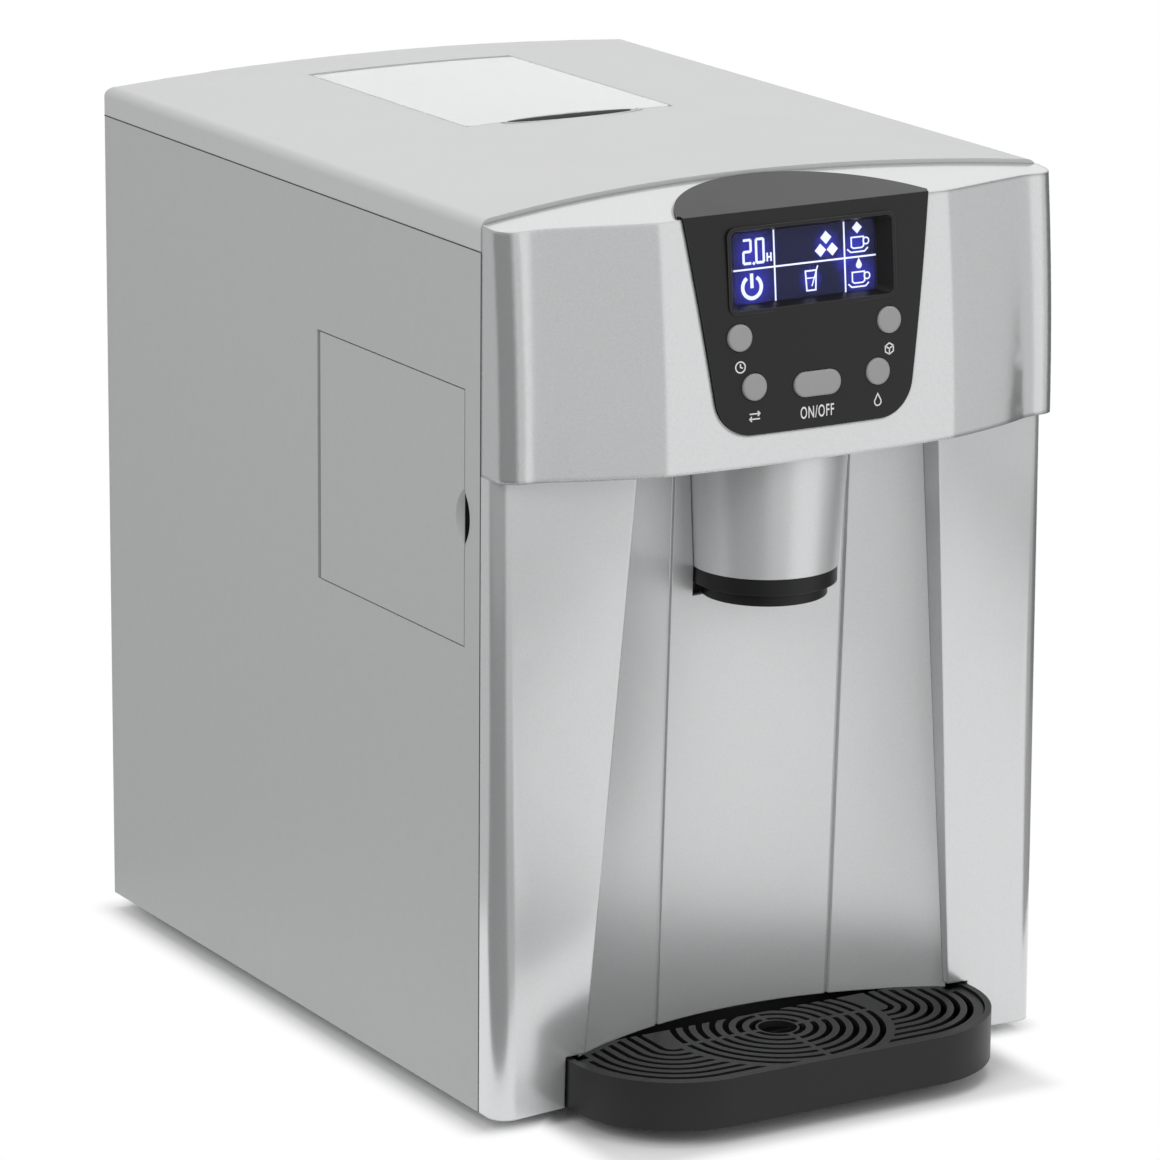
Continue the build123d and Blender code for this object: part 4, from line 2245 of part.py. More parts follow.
inlet_mid = (inlet_z[0] + inlet_z[1]) / 2
with BuildPart() as power_inlet:
    block((inlet_x - inlet_half, inlet_x + inlet_half), (back_face, back_face + inlet_stand), inlet_z)
    fillet(power_inlet.edges().filter_by(Axis.Y), inlet_flange)
    block(
        (inlet_x - inlet_body_half, inlet_x + inlet_body_half),
        (back_face - inlet_body_length, back_face),
        (inlet_z[0] + inlet_flange, inlet_z[1] - inlet_flange),
    )
    socket_y = (back_face + inlet_stand - inlet_socket_depth, back_face + inlet_stand)
    block(
        (inlet_x - inlet_socket_half_width, inlet_x + inlet_socket_half_width),
        socket_y,
        (inlet_mid - inlet_socket_half_height, inlet_mid + inlet_socket_half_height),
        Mode.SUBTRACT,
    )
    for step in (-1, 0, 1):
        x = inlet_x + step * blade_pitch_x
        block(
            (x - blade_half_height, x + blade_half_height),
            (socket_y[0], socket_y[1] - inlet_flange),
            (inlet_mid - blade_half_width, inlet_mid + blade_half_width),
        )
power_inlet.part.label = "power_inlet"
export_step(power_inlet.part, "parts/power_inlet.step")
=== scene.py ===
# %% [markdown]
# # Ice maker with an ice and water dispenser
# The shapes come from CAD as fixed nodes that ride on moving bodies. This script gives each
# of them its finish, adds the printed symbols, the lit display, screw heads and some thin
# dark pieces that paint shade and shadow, and sets up a camera and a white studio.

# %% Load the frame
import json
import math

import bmesh
import bpy
from mathutils import Matrix, Vector
from mathutils.bvhtree import BVHTree


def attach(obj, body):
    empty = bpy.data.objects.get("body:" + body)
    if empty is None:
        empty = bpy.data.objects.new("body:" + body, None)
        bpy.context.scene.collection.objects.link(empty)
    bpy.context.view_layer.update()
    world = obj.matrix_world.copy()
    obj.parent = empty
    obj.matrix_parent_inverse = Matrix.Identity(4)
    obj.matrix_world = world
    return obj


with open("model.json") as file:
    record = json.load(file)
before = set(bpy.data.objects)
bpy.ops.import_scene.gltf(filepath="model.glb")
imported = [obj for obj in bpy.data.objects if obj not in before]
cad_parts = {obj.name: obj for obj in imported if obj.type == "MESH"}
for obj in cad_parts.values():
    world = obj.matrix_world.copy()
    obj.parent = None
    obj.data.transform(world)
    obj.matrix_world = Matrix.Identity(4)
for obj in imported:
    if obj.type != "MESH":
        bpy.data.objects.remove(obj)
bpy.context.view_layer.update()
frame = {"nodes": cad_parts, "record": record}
nodes = frame["nodes"]
scene = bpy.context.scene

# %% [markdown]
# ## Camera
# The machine is seen from its front left and a little from above, with a long lens that
# keeps its edges almost parallel. A rotation can be built from three unit vectors: where
# the camera looks, its right and its up. A slight roll is mixed into the last two.

# %% Camera
camera_place = Vector((-1.39309, -2.33134, 0.92891))
yaw, pitch, roll = 0.5367951, 0.2620371, 0.0079501
sensor_width, focal_length = 36, 185.18
farthest_seen = 100
looking = Vector((math.sin(yaw) * math.cos(pitch), math.cos(yaw) * math.cos(pitch), -math.sin(pitch)))
level_right = Vector((math.cos(yaw), -math.sin(yaw), 0))
level_up = level_right.cross(looking)
right = math.cos(roll) * level_right + math.sin(roll) * level_up
up = math.cos(roll) * level_up - math.sin(roll) * level_right
lens = bpy.data.cameras.new("photo_camera")
lens.sensor_width = sensor_width
lens.lens = focal_length
lens.clip_end = farthest_seen
camera = bpy.data.objects.new("photo_camera", lens)
turned = Matrix((right, up, -looking)).transposed().to_4x4()
camera.matrix_world = Matrix.Translation(camera_place) @ turned
scene.collection.objects.link(camera)
scene.camera = camera
scene.view_settings.view_transform = "Standard"
print("camera", [round(x, 3) for x in camera_place], "lens", lens.lens)

# %% [markdown]
# ## Building with nodes
# The world and every material are graphs of nodes. Two helpers write them in few lines: one
# fills a node's inputs, where a plain value is set and another node's output is linked, and
# one adds a node and fills it. The others add the nodes that come up most.

# %% Node helpers
def fill(tree, node, values):
    """Fill a node's inputs with plain values or with other nodes' outputs."""
    for key, value in values.items():
        if isinstance(value, bpy.types.NodeSocket):
            tree.links.new(value, node.inputs[key])
        else:
            node.inputs[key].default_value = value


def add_node(tree, kind, settings=(), values=()):
    """A new node with some of its settings made and some of its inputs filled."""
    made = tree.nodes.new(kind)
    for key, value in dict(settings).items():
        setattr(made, key, value)
    fill(tree, made, dict(values))
    return made


def calculated(tree, operation, *values):
    """The number that an operation makes of its values."""
    return add_node(tree, "ShaderNodeMath", {"operation": operation}, dict(enumerate(values))).outputs[0]


def vectors(tree, operation, *values):
    """The outputs of an operation on vectors: Vector and Value."""
    return add_node(tree, "ShaderNodeVectorMath", {"operation": operation}, dict(enumerate(values))).outputs


def remapped(tree, value, ends, shape="LINEAR"):
    """A value moved from one range to another, with the ends named as on the node."""
    settings = {"interpolation_type": shape}
    return add_node(tree, "ShaderNodeMapRange", settings, {"Value": value, **ends}).outputs["Result"]


def object_places(tree):
    """Each point's place on its own object, in metres."""
    return add_node(tree, "ShaderNodeTexCoord").outputs["Object"]


def show(tree, shader):
    """Make a shader the surface of a material."""
    tree.links.new(shader.outputs[0], tree.nodes["Material Output"].inputs["Surface"])


def show_blend(tree, share, first, second):
    """Make a blend of two shaders the surface of a material."""
    parts = {0: share, 1: first.outputs[0], 2: second.outputs[0]}
    show(tree, add_node(tree, "ShaderNodeMixShader", values=parts))


print("node groups so far", len(bpy.data.node_groups))

# %% [markdown]
# ## Studio
# A product photo on white needs a white floor and soft light from large sources. The world
# could light everything by itself, but then nothing has a direction, so it gives only the
# larger part of the light. Light Path keeps the world white wherever the camera, a gloss or
# a clear part sees it, and dimmer as a source of light.

# %% World
diffuse_level = 0.6
sky = bpy.data.worlds.new("white_studio")
scene.world = sky
sky.use_nodes = True


def seen_or_light(tree):
    """Full strength for the camera, glosses and clear parts, and the diffuse level otherwise."""
    paths = add_node(tree, "ShaderNodeLightPath").outputs
    seen = paths["Is Camera Ray"]
    for kind in ("Is Glossy Ray", "Is Transmission Ray"):
        seen = calculated(tree, "MAXIMUM", seen, paths[kind])
    return remapped(tree, seen, {"To Min": diffuse_level, "To Max": 1.0})


backdrop = sky.node_tree.nodes["Background"]
fill(sky.node_tree, backdrop, {"Color": (1, 1, 1, 1), "Strength": seen_or_light(sky.node_tree)})
print("world light", diffuse_level)

# %% [markdown]
# Three large soft boxes give the light its direction: a key light from the left, a weaker
# one from the front right and one from above. Reflections don't show them, so the lacquer
# keeps the smooth runs of tone that the cards give it.

# %% Soft boxes
lit_spot = Vector((0, 0, 0.22))
# name, place, width and height in metres, and power in watts
box_rows = (
    ("key_box", (-2.2, -1.2, 1.9), 1.6, 1.6, 29),
    ("front_box", (1.3, -2.4, 0.9), 1.0, 1.4, 14),
    ("top_box", (0.2, 0.3, 2.4), 1.8, 1.8, 19),
)
for name, place, width, height, power in box_rows:
    lamp = bpy.data.lights.new(name, "AREA")
    lamp.shape = "RECTANGLE"
    lamp.size = width
    lamp.size_y = height
    lamp.energy = power
    box = bpy.data.objects.new(name, lamp)
    box.location = place
    box.rotation_euler = (lit_spot - Vector(place)).to_track_quat("-Z", "Y").to_euler()
    box.visible_glossy = False
    scene.collection.objects.link(box)
print("soft boxes", len(box_rows))

# %% [markdown]
# Metallic paint looks like metal only where it has something darker to reflect. A front
# that faces the lens mirrors what stands to the right of it, so a photographer leaves one
# white gap there and hangs grey cards on both sides of the gap. Flat faces then mirror the
# gap and turn bright, and round ones run from bright to grey to dark. Seen from above, an
# upright face mirrors the floor, so each card has a foot that runs along the floor to the
# machine. Only reflections see the cards, and they are no part of the object.

# %% Cards
card_distance = 0.75
card_height = 1.3
band_height = 0.14
foot_distance = 0.36
foot_rise = 0.002
# name, first and last bearing in degrees from the machine's front towards its right, and
# how bright its foot, its lower band and its wall are
card_rows = (
    ("grey_card_side", -172, -100, 0.5, 0.5, 0.5),
    ("dark_card_left", -100, -24, 0.06, 0.04, 0.2),
    ("grey_card_left", -24, 5, 0.3, 0.5, 0.66),
    ("grey_card_right", 46, 66, 0.2, 0.3, 0.68),
    ("dark_card_right", 66, 110, 0.2, 0.0, 0.1),
)


def sheets(name, corners, faces):
    """An object with a few flat faces."""
    mesh = bpy.data.meshes.new(name)
    mesh.from_pydata(corners, [], faces)
    sheet = bpy.data.objects.new(name, mesh)
    scene.collection.objects.link(sheet)
    return sheet


def lit_evenly(name, level):
    """A material that glows at one level whatever light falls on it."""
    lit = bpy.data.materials.new(name)
    lit.use_nodes = True
    show(lit.node_tree, add_node(lit.node_tree, "ShaderNodeEmission", values={"Strength": level}))
    return lit


card_profile = [(foot_distance, foot_rise)]
card_profile += [(card_distance, rise) for rise in (foot_rise, band_height, card_height)]
card_faces = [(n, n + 1, n + 3, n + 2) for n in (0, 2, 4)]
for name, first, last, *levels in card_rows:
    turns = [math.radians(bearing) for bearing in (first, last)]
    ways = [Vector((math.sin(turn), -math.cos(turn), 0)) for turn in turns]
    corners = []
    for reach, rise in card_profile:
        corners += [reach * way + Vector((0, 0, rise)) for way in ways]
    sheet = sheets(name, corners, card_faces)
    for face, level in zip(sheet.data.polygons, levels):
        sheet.data.materials.append(lit_evenly(name, level))
        face.material_index = face.index
    for kind in ("camera", "diffuse", "shadow", "transmission"):
        setattr(sheet, "visible_" + kind, False)
print("cards", len(card_rows))

# %% [markdown]
# The floor is a real surface, because it has to catch the machine's shadow and show in its
# lower reflections. Right beside the machine it is plain white paint. A few centimetres out
# it has turned into an even white glow, so no horizon or falloff shows. The distance that
# drives the change is taken from two boxes, round the base pan and round the drip tray.

# %% Floor
floor_half, any_height = 14, 1
floor_look = {"Base Color": (0.93, 0.93, 0.93, 1), "Roughness": 0.6, "Specular IOR Level": 0.2}
shadow_reach = 0.017


def centre_of(name):
    """The middle of a node and half its size, in metres."""
    corners = [nodes[name].matrix_world @ Vector(corner) for corner in nodes[name].bound_box]
    low = Vector([min(corner[axis] for corner in corners) for axis in range(3)])
    high = Vector([max(corner[axis] for corner in corners) for axis in range(3)])
    return (low + high) / 2, (high - low) / 2


def away_from(tree, name):
    """The floor's distance from the box round a node, in metres."""
    centre, half = centre_of(name)
    aside = vectors(tree, "SUBTRACT", object_places(tree), (centre.x, centre.y, 0))["Vector"]
    aside = vectors(tree, "ABSOLUTE", aside)["Vector"]
    outside = vectors(tree, "SUBTRACT", aside, (half.x, half.y, any_height))["Vector"]
    outside = vectors(tree, "MAXIMUM", outside, (0, 0, 0))["Vector"]
    return vectors(tree, "LENGTH", outside)["Value"]


corner_ways = ((-1, -1), (1, -1), (1, 1), (-1, 1))
floor = sheets("floor", [(floor_half * x, floor_half * y, 0) for x, y in corner_ways], [(0, 1, 2, 3)])
floor_paint = bpy.data.materials.new("floor_white")
floor_paint.use_nodes = True
tree = floor_paint.node_tree
matt_white = tree.nodes["Principled BSDF"]
fill(tree, matt_white, floor_look)
nearest = calculated(tree, "MINIMUM", away_from(tree, "base_pan"), away_from(tree, "drip_tray"))
glowing = remapped(tree, nearest, {"From Max": shadow_reach}, "SMOOTHSTEP")
glow = add_node(tree, "ShaderNodeEmission", values={"Strength": seen_or_light(tree)})
show_blend(tree, glowing, matt_white, glow)
floor.data.materials.append(floor_paint)
print("floor", [round(x, 1) for x in floor.dimensions], "shadow reach", shadow_reach)

# %% [markdown]
# ## Shared surface effects
# Several finishes share the same small effects, such as moulded grain or greasy smudges.
# Each is a node group with named inputs and outputs that is built once and placed in every
# material that needs it. The groups work on Object coordinates. All the nodes sit
# at the origin in metres, so a scale of 1000 repeats once a millimetre on every part.

# %% Group helpers
number, direction = "NodeSocketFloat", "NodeSocketVector"


def effect(name, inputs, outputs):
    """(group, its inputs, its outputs), from {name: default} and {name: kind of socket}."""
    group = bpy.data.node_groups.new(name, "ShaderNodeTree")
    for label, default in inputs.items():
        socket = group.interface.new_socket(name=label, in_out="INPUT", socket_type=number)
        socket.default_value = default
    for label, kind in outputs.items():
        group.interface.new_socket(name=label, in_out="OUTPUT", socket_type=kind)
    return group, group.nodes.new("NodeGroupInput").outputs, group.nodes.new("NodeGroupOutput")


def noise(tree, vector, scale, **look):
    """Soft noise between 0 and 1."""
    values = {"Vector": vector, "Scale": scale, **look}
    return add_node(tree, "ShaderNodeTexNoise", values=values).outputs["Fac"]


print("kinds of socket", number, direction)

# %% [markdown]
# Moulded plastic is never mirror smooth. The steel mould is spark eroded, and its fine
# pebbled grain comes out on the part. Two octaves of noise give such pebbles, one at the
# grain's own size and a softer one three times larger that keeps the pattern from tiling.

# %% Moulded grain
broad_scale, broad_share = 0.31, 0.3
grain, grain_in, grain_out = effect("moulded_grain", {"Scale": 900.0}, {"Height": number, "Mask": number})
where = object_places(grain)
fine = noise(grain, where, grain_in["Scale"], Detail=2.0, Roughness=0.55)
broad = noise(grain, where, calculated(grain, "MULTIPLY", grain_in["Scale"], broad_scale), Detail=1.0)
octaves = {"Factor": broad_share, "A": fine, "B": broad}
pebbled = add_node(grain, "ShaderNodeMix", {"data_type": "FLOAT"}, octaves).outputs["Result"]
steeper = remapped(grain, pebbled, {"From Min": 0.35, "From Max": 0.65})
fill(grain, grain_out, {"Height": pebbled, "Mask": steeper})
print("group", grain.name, "nodes", len(grain.nodes))

# %% [markdown]
# Surfaces that hands touch or that have been wiped are a little uneven in gloss. Large,
# soft noise that a second noise distorts gives cloudy smudges. Only the roughness uses them,
# since a smudge changes how sharp a reflection is, and hardly changes the colour.

# %% Smudges
smudge, smudge_in, smudge_out = effect(
    "wiped_smudges", {"Scale": 18.0, "Base": 0.3, "Spread": 0.05}, {"Roughness": number}
)
cloud = noise(smudge, object_places(smudge), smudge_in["Scale"], Detail=4.0, Roughness=0.6, Distortion=0.8)
# the noise between 0 and 1, moved to between -1 and 1
swing = calculated(smudge, "MULTIPLY", calculated(smudge, "SUBTRACT", cloud, 0.5), 2.0)
uneven_gloss = calculated(smudge, "MULTIPLY_ADD", swing, smudge_in["Spread"], smudge_in["Base"])
fill(smudge, smudge_out, {"Roughness": uneven_gloss})
print("group", smudge.name, "nodes", len(smudge.nodes))

# %% [markdown]
# Silver paint is clear lacquer over tiny aluminium flakes that lie at slightly different
# angles, so each catches the light a little differently. A Voronoi pattern of cells a few
# tenths of a millimetre wide, each with its own random value, stands for the flakes: its
# value lifts or lowers the colour a little, so lighter cells are a painted glint and darker
# ones painted shade.

# %% Metal flakes
flake, flake_in, flake_out = effect("metal_flakes", {"Scale": 3500.0}, {"Mask": number})
cell_places = {"Vector": object_places(flake), "Scale": flake_in["Scale"]}
cells = add_node(flake, "ShaderNodeTexVoronoi", values=cell_places)
cell_grey = add_node(flake, "ShaderNodeRGBToBW", values={"Color": cells.outputs["Color"]})
fill(flake, flake_out, {"Mask": cell_grey.outputs["Val"]})
print("group", flake.name, "nodes", len(flake.nodes))

# %% [markdown]
# Edges of a real part are never perfectly sharp, and they catch the light as thin lines.
# The Bevel node looks at nearby faces and returns a normal that rounds the edge between
# them. Where that normal turns away from the true one is an edge, and the same difference
# makes a mask for the wear along it.

# %% Rounded edges
edge_outputs = {"Normal": direction, "Edge": number}
edges, edges_in, edges_out = effect("rounded_edges", {"Radius": 0.0006}, edge_outputs)
bevel = add_node(edges, "ShaderNodeBevel", {"samples": 4}, {"Radius": edges_in["Radius"]})
soft_normal = bevel.outputs["Normal"]
true_normal = add_node(edges, "ShaderNodeNewGeometry").outputs["Normal"]
alike = vectors(edges, "DOT_PRODUCT", soft_normal, true_normal)["Value"]
edge_mask = remapped(edges, alike, {"From Min": 0.995, "From Max": 0.85})
fill(edges, edges_out, {"Normal": soft_normal, "Edge": edge_mask})
print("group", edges.name, "nodes", len(edges.nodes))

# %% [markdown]
# Rolled or brushed metal has fine lines in one direction. Noise on coordinates that are
# squeezed hard along one axis gives them. Three inputs stretch the pattern, so the same
# group serves lines along the depth, the width or round a turned part.

# %% Brush lines
brush, brush_in, brush_out = effect(
    "brush_lines", {"Along X": 900.0, "Along Y": 20.0, "Along Z": 900.0}, {"Mask": number}
)
stretch = add_node(brush, "ShaderNodeCombineXYZ", values={axis: brush_in[f"Along {axis}"] for axis in "XYZ"})
squeezed = vectors(brush, "MULTIPLY", object_places(brush), stretch.outputs["Vector"])["Vector"]
fill(brush, brush_out, {"Mask": noise(brush, squeezed, 1.0, Detail=3.0)})
print("group", brush.name, "nodes", len(brush.nodes))

# %% [markdown]
# ## Finishes
# Every finish starts from the Principled shader. The helpers set the values that are the
# same all over on the shader's own sockets, and wire three effects: a bump from a height,
# a roughness from the smudges, and a colour that a mask moves between two close tones. In
# moulded plastic the darker tone is painted shade in the pits of the grain.

# %% Finish helpers
grain_height = 0.0002
# the share of the colour left in the grain's pits, as painted shade
grain_pit_shade = 0.97
rubbed_share = 0.08
finishes = {}


def spaced(values):
    """The same values, with spaces for the underscores in their names."""
    return {label.replace("_", " "): value for label, value in values.items()}


def place_effect(tree, group, **values):
    """The outputs of a shared effect, placed in a material with its own input values."""
    return add_node(tree, "ShaderNodeGroup", {"node_tree": group}, spaced(values)).outputs


def tones(tree, mask, low, high):
    """A colour between two, chosen by a mask. Each is a plain colour or a node's output."""
    ends = [(*end, 1) if isinstance(end, tuple) else end for end in (low, high)]
    values = {"Factor": mask, "A": ends[0], "B": ends[1]}
    return add_node(tree, "ShaderNodeMix", {"data_type": "RGBA"}, values).outputs["Result"]


def at_strength(colour, share):
    """The same colour at a share of its strength."""
    return tuple(part * share for part in colour)


def finish(slot, **constants):
    """A new material for a slot: (its tree, its Principled shader), with plain values set."""
    made = bpy.data.materials.new(slot)
    made.use_nodes = True
    finishes[slot] = made
    shader = made.node_tree.nodes["Principled BSDF"]
    fill(made.node_tree, shader, spaced(constants))
    return made.node_tree, shader


def relief(tree, height, depth, edge_radius, distance=grain_height):
    """(normal, edge mask): a bump from a height, over edges that are rounded a little."""
    rounded = place_effect(tree, edges, Radius=edge_radius)
    values = {"Strength": depth, "Distance": distance, "Height": height, "Normal": rounded["Normal"]}
    return add_node(tree, "ShaderNodeBump", values=values).outputs["Normal"], rounded["Edge"]


def moulded(slot, colour, gloss, spread, grain_scale, depth, edge_radius=0.0004, **constants):
    """A moulded plastic: grain in the surface with painted shade in its pits, uneven gloss, and edges rubbed
    a bit paler.
    """
    tree, shader = finish(slot, **constants)
    pebbles = place_effect(tree, grain, Scale=grain_scale)
    wiped = place_effect(tree, smudge, Base=gloss, Spread=spread)
    normal, edge = relief(tree, pebbles["Height"], depth, edge_radius)
    # the low places of the grain are painted a little darker, as their shade
    body = tones(tree, pebbles["Mask"], at_strength(colour, grain_pit_shade), colour)
    paler = tuple(part + (1 - part) * rubbed_share for part in colour)
    rubbed = tones(tree, edge, body, paler)
    fill(tree, shader, {"Base Color": rubbed, "Roughness": wiped["Roughness"], "Normal": normal})


print("effects to place", [group.name for group in bpy.data.node_groups])

# %% [markdown]
# ### Sheet metal sides
# The side panels and the filter door are powder-coated sheet steel: mid grey, quite matt,
# with the faint orange peel that powder leaves when it melts. Grain a little larger than
# that of moulded plastic, and shallow, gives the peel.

# %% Painted sides
moulded("side_paint", (0.44, 0.45, 0.447), 0.52, 0.04, 420.0, 0.06)
print("finishes so far", len(finishes))

# %% [markdown]
# ### Top cover
# The lid is a lighter grey moulding with a fine, even texture. It is the palest opaque
# part, so its colour stays well under white and the lamps must not clip it.

# %% Lid
lid_edge_radius = 0.0012
moulded("lid_plastic", (0.51, 0.516, 0.514), 0.42, 0.04, 1100.0, 0.05, lid_edge_radius)
print("finishes so far", len(finishes))

# %% [markdown]
# ### Silver mouldings
# The console and the front are painted in metallic silver under a clear lacquer. A fully
# metallic shader would look like polished steel, because paint also has a diffuse part
# between its flakes. A Metallic value below one, flakes in the colour and a thin clear coat
# come close. The console is the glossiest and its corners are softly rounded, the pillars
# are satin, and the alcove has no lacquer, so it blurs the tray it mirrors.

# %% Silver paints
pale_silver = (0.7, 0.71, 0.715)
# how much darker and lighter a flake is painted, as its shade and its glint
flake_scale, flake_shade, flake_glint = 3200.0, 0.93, 1.05
peel_scale, peel_depth = 260.0, 0.02
silver_spread = 0.03


def silver(slot, colour, metallic, gloss, coat, coat_gloss, edge_radius):
    """A metallic paint: flakes whose glint and shade are painted into the colour, and faint orange peel,
    under a clear coat.
    """
    tree, shader = finish(slot, Metallic=metallic, Coat_Weight=coat, Coat_Roughness=coat_gloss)
    flakes = place_effect(tree, flake, Scale=flake_scale)
    peel = place_effect(tree, grain, Scale=peel_scale)
    wiped = place_effect(tree, smudge, Base=gloss, Spread=silver_spread)
    normal = relief(tree, peel["Height"], peel_depth, edge_radius)[0]
    # lighter flakes paint a glint and darker ones a shade
    painted_glints = tones(tree, flakes["Mask"], at_strength(colour, flake_shade), at_strength(colour, flake_glint))
    fill(tree, shader, {"Base Color": painted_glints, "Roughness": wiped["Roughness"], "Normal": normal})


silver("silver_gloss", (0.67, 0.68, 0.685), 0.8, 0.17, 0.3, 0.06, 0.0028)
silver("silver_satin", pale_silver, 0.64, 0.2, 0.2, 0.08, 0.0014)
silver("silver_alcove", pale_silver, 0.52, 0.34, 0.0, 0.3, 0.0007)
print("silver finishes", [name for name in finishes if name.startswith("silver")])

# %% [markdown]
# ### Black plastics
# The fascia is satin black with a very fine texture. The drip tray, the grille and the
# nozzle are a duller black. Neither is fully black, since even black plastic returns about
# three percent of the light, and their gloss shows how they are lit.

# %% Blacks
moulded("black_panel", (0.013, 0.013, 0.0135), 0.38, 0.04, 1500.0, 0.04, Specular_IOR_Level=0.28)
moulded("black_satin", (0.012, 0.012, 0.012), 0.42, 0.05, 1200.0, 0.06, Specular_IOR_Level=0.3)
moulded("rubber_black", (0.018, 0.018, 0.018), 0.75, 0.05, 700.0, 0.12)
enamel_coat = {"Coat_Weight": 0.4, "Coat_Roughness": 0.12}
moulded("compressor_black", (0.018, 0.018, 0.02), 0.22, 0.04, 180.0, 0.05, **enamel_coat)
print("finishes so far", len(finishes))

# %% [markdown]
# ### Greys and whites
# Buttons are a satin mid grey. Inside, the food parts are white or pale grey, the filter's
# cartridge is glossy white, the gears are cream nylon, and the foam around the ice chamber
# is coarse and cream coloured. The same moulded finish serves, with other values.

# %% Greys and whites
button_edge_radius = 0.0016
moulded("button_grey", (0.31, 0.31, 0.313), 0.38, 0.03, 1400.0, 0.04, button_edge_radius)
moulded("white_plastic", (0.74, 0.75, 0.75), 0.38, 0.04, 900.0, 0.04)
moulded("filter_white", (0.76, 0.77, 0.78), 0.2, 0.03, 300.0, 0.02)
moulded("grey_plastic", (0.29, 0.3, 0.31), 0.45, 0.05, 1000.0, 0.06)
moulded("gear_white", (0.68, 0.68, 0.62), 0.35, 0.03, 800.0, 0.03)
moulded("foam", (0.7, 0.66, 0.52), 0.85, 0.05, 240.0, 0.6)
moulded("hose_clear", (0.6, 0.62, 0.63), 0.3, 0.04, 200.0, 0.02, Transmission_Weight=0.45, IOR=1.41)
print("finishes so far", len(finishes))

# %% [markdown]
# ### Bare metals
# Zinc-coated sheet shows a faint crystal pattern, while steel shafts, motor cans and the
# condenser's fins are rolled or turned and carry fine lines. All are fully metallic. The
# lines touch the roughness and the colour a little, and raise a slight bump.

# %% Metals
line_height = 0.0001
line_dark = 0.9
metal_edge_radius = 0.0003


def bare_metal(slot, colour, gloss, spread, along, depth=0.05):
    """A worked metal whose lines run along the axis with the smallest of three scales."""
    tree, shader = finish(slot, Metallic=1.0)
    worked = place_effect(tree, brush, Along_X=along[0], Along_Y=along[1], Along_Z=along[2])["Mask"]
    normal = relief(tree, worked, depth, metal_edge_radius, line_height)[0]
    uneven = remapped(tree, worked, {"To Min": gloss - spread, "To Max": gloss + spread})
    lined = tones(tree, worked, at_strength(colour, line_dark), colour)
    fill(tree, shader, {"Base Color": lined, "Roughness": uneven, "Normal": normal})


bare_metal("steel", (0.56, 0.57, 0.58), 0.28, 0.08, (900.0, 30.0, 900.0))
bare_metal("nickel", (0.7, 0.69, 0.66), 0.16, 0.05, (300.0, 300.0, 40.0), 0.02)
bare_metal("motor_steel", (0.47, 0.48, 0.49), 0.34, 0.08, (60.0, 900.0, 60.0))
bare_metal("fin_aluminium", (0.6, 0.61, 0.62), 0.32, 0.1, (40.0, 900.0, 900.0))
bare_metal("copper", (0.72, 0.4, 0.26), 0.3, 0.1, (120.0, 120.0, 120.0))
bare_metal("zinc_sheet", (0.52, 0.53, 0.54), 0.42, 0.12, (140.0, 160.0, 150.0), 0.03)
print("finishes so far", len(finishes))

# %% [markdown]
# ### Circuit boards
# A board's laminate is green resin over copper tracks. Straight tracks can be suggested by
# a brick pattern of thin lighter lines, which reads as wiring at this size.

# %% Board laminate
tree, shader = finish("board_green", Roughness=0.35, Coat_Weight=0.5, Coat_Roughness=0.15)
stood_up = {"Vector": object_places(tree), "Rotation": (math.pi / 2, 0, math.pi / 4)}
board_places = add_node(tree, "ShaderNodeMapping", values=stood_up).outputs["Vector"]
track_sizes = {"Scale": 160.0, "Mortar Size": 0.06, "Brick Width": 0.9, "Row Height": 0.22}
resin = {"Color1": (0.014, 0.1, 0.04, 1), "Color2": (0.018, 0.13, 0.05, 1)}
board_look = {"Vector": board_places, **track_sizes, **resin, "Mortar": (0.04, 0.2, 0.09, 1)}
tracks = add_node(tree, "ShaderNodeTexBrick", values=board_look)
fill(tree, shader, {"Base Color": tracks.outputs["Color"]})
print("board tracks per metre", track_sizes["Scale"])

# %% [markdown]
# ### Clear parts
# The ice window is a milky clear plastic: it glows almost white, and what lies under it is
# only guessed at. Part transmission over a near-white base gives that. A clear part in
# Cycles blocks shadow rays, which would leave the inside too dark, so the Light Path node
# swaps it for a transparent shader on those rays only. The display's lens is a clear sheet
# with an anti-glare coat, so it bends and mirrors the light much less than bare glass.

# %% Clear parts
plastic_bending, lens_bending = 1.49, 1.15
# the last value is the share of the colour left in the grain's pits, as painted shade
clear_grain_scale, clear_grain_depth, clear_pit_shade = 200.0, 0.01, 0.99
clear_spread = 0.02
clear_edge_radius = 0.0008


def clear_part(slot, base, milk, gloss, tint, bending):
    """A clear part with some milk in it, a tint for its shadow, and its power to bend light."""
    tree, shader = finish(slot, Transmission_Weight=1.0 - milk, IOR=bending)
    clouds = place_effect(tree, smudge, Base=gloss, Spread=clear_spread)
    pebbles = place_effect(tree, grain, Scale=clear_grain_scale)
    normal = relief(tree, pebbles["Height"], clear_grain_depth, clear_edge_radius)[0]
    # the pits of the grain are painted a little darker, as their shade
    body = tones(tree, pebbles["Mask"], at_strength(base, clear_pit_shade), base)
    fill(tree, shader, {"Base Color": body, "Roughness": clouds["Roughness"], "Normal": normal})
    see_through = add_node(tree, "ShaderNodeBsdfTransparent", values={"Color": (*tint, 1)})
    is_shadow = add_node(tree, "ShaderNodeLightPath").outputs["Is Shadow Ray"]
    show_blend(tree, is_shadow, shader, see_through)


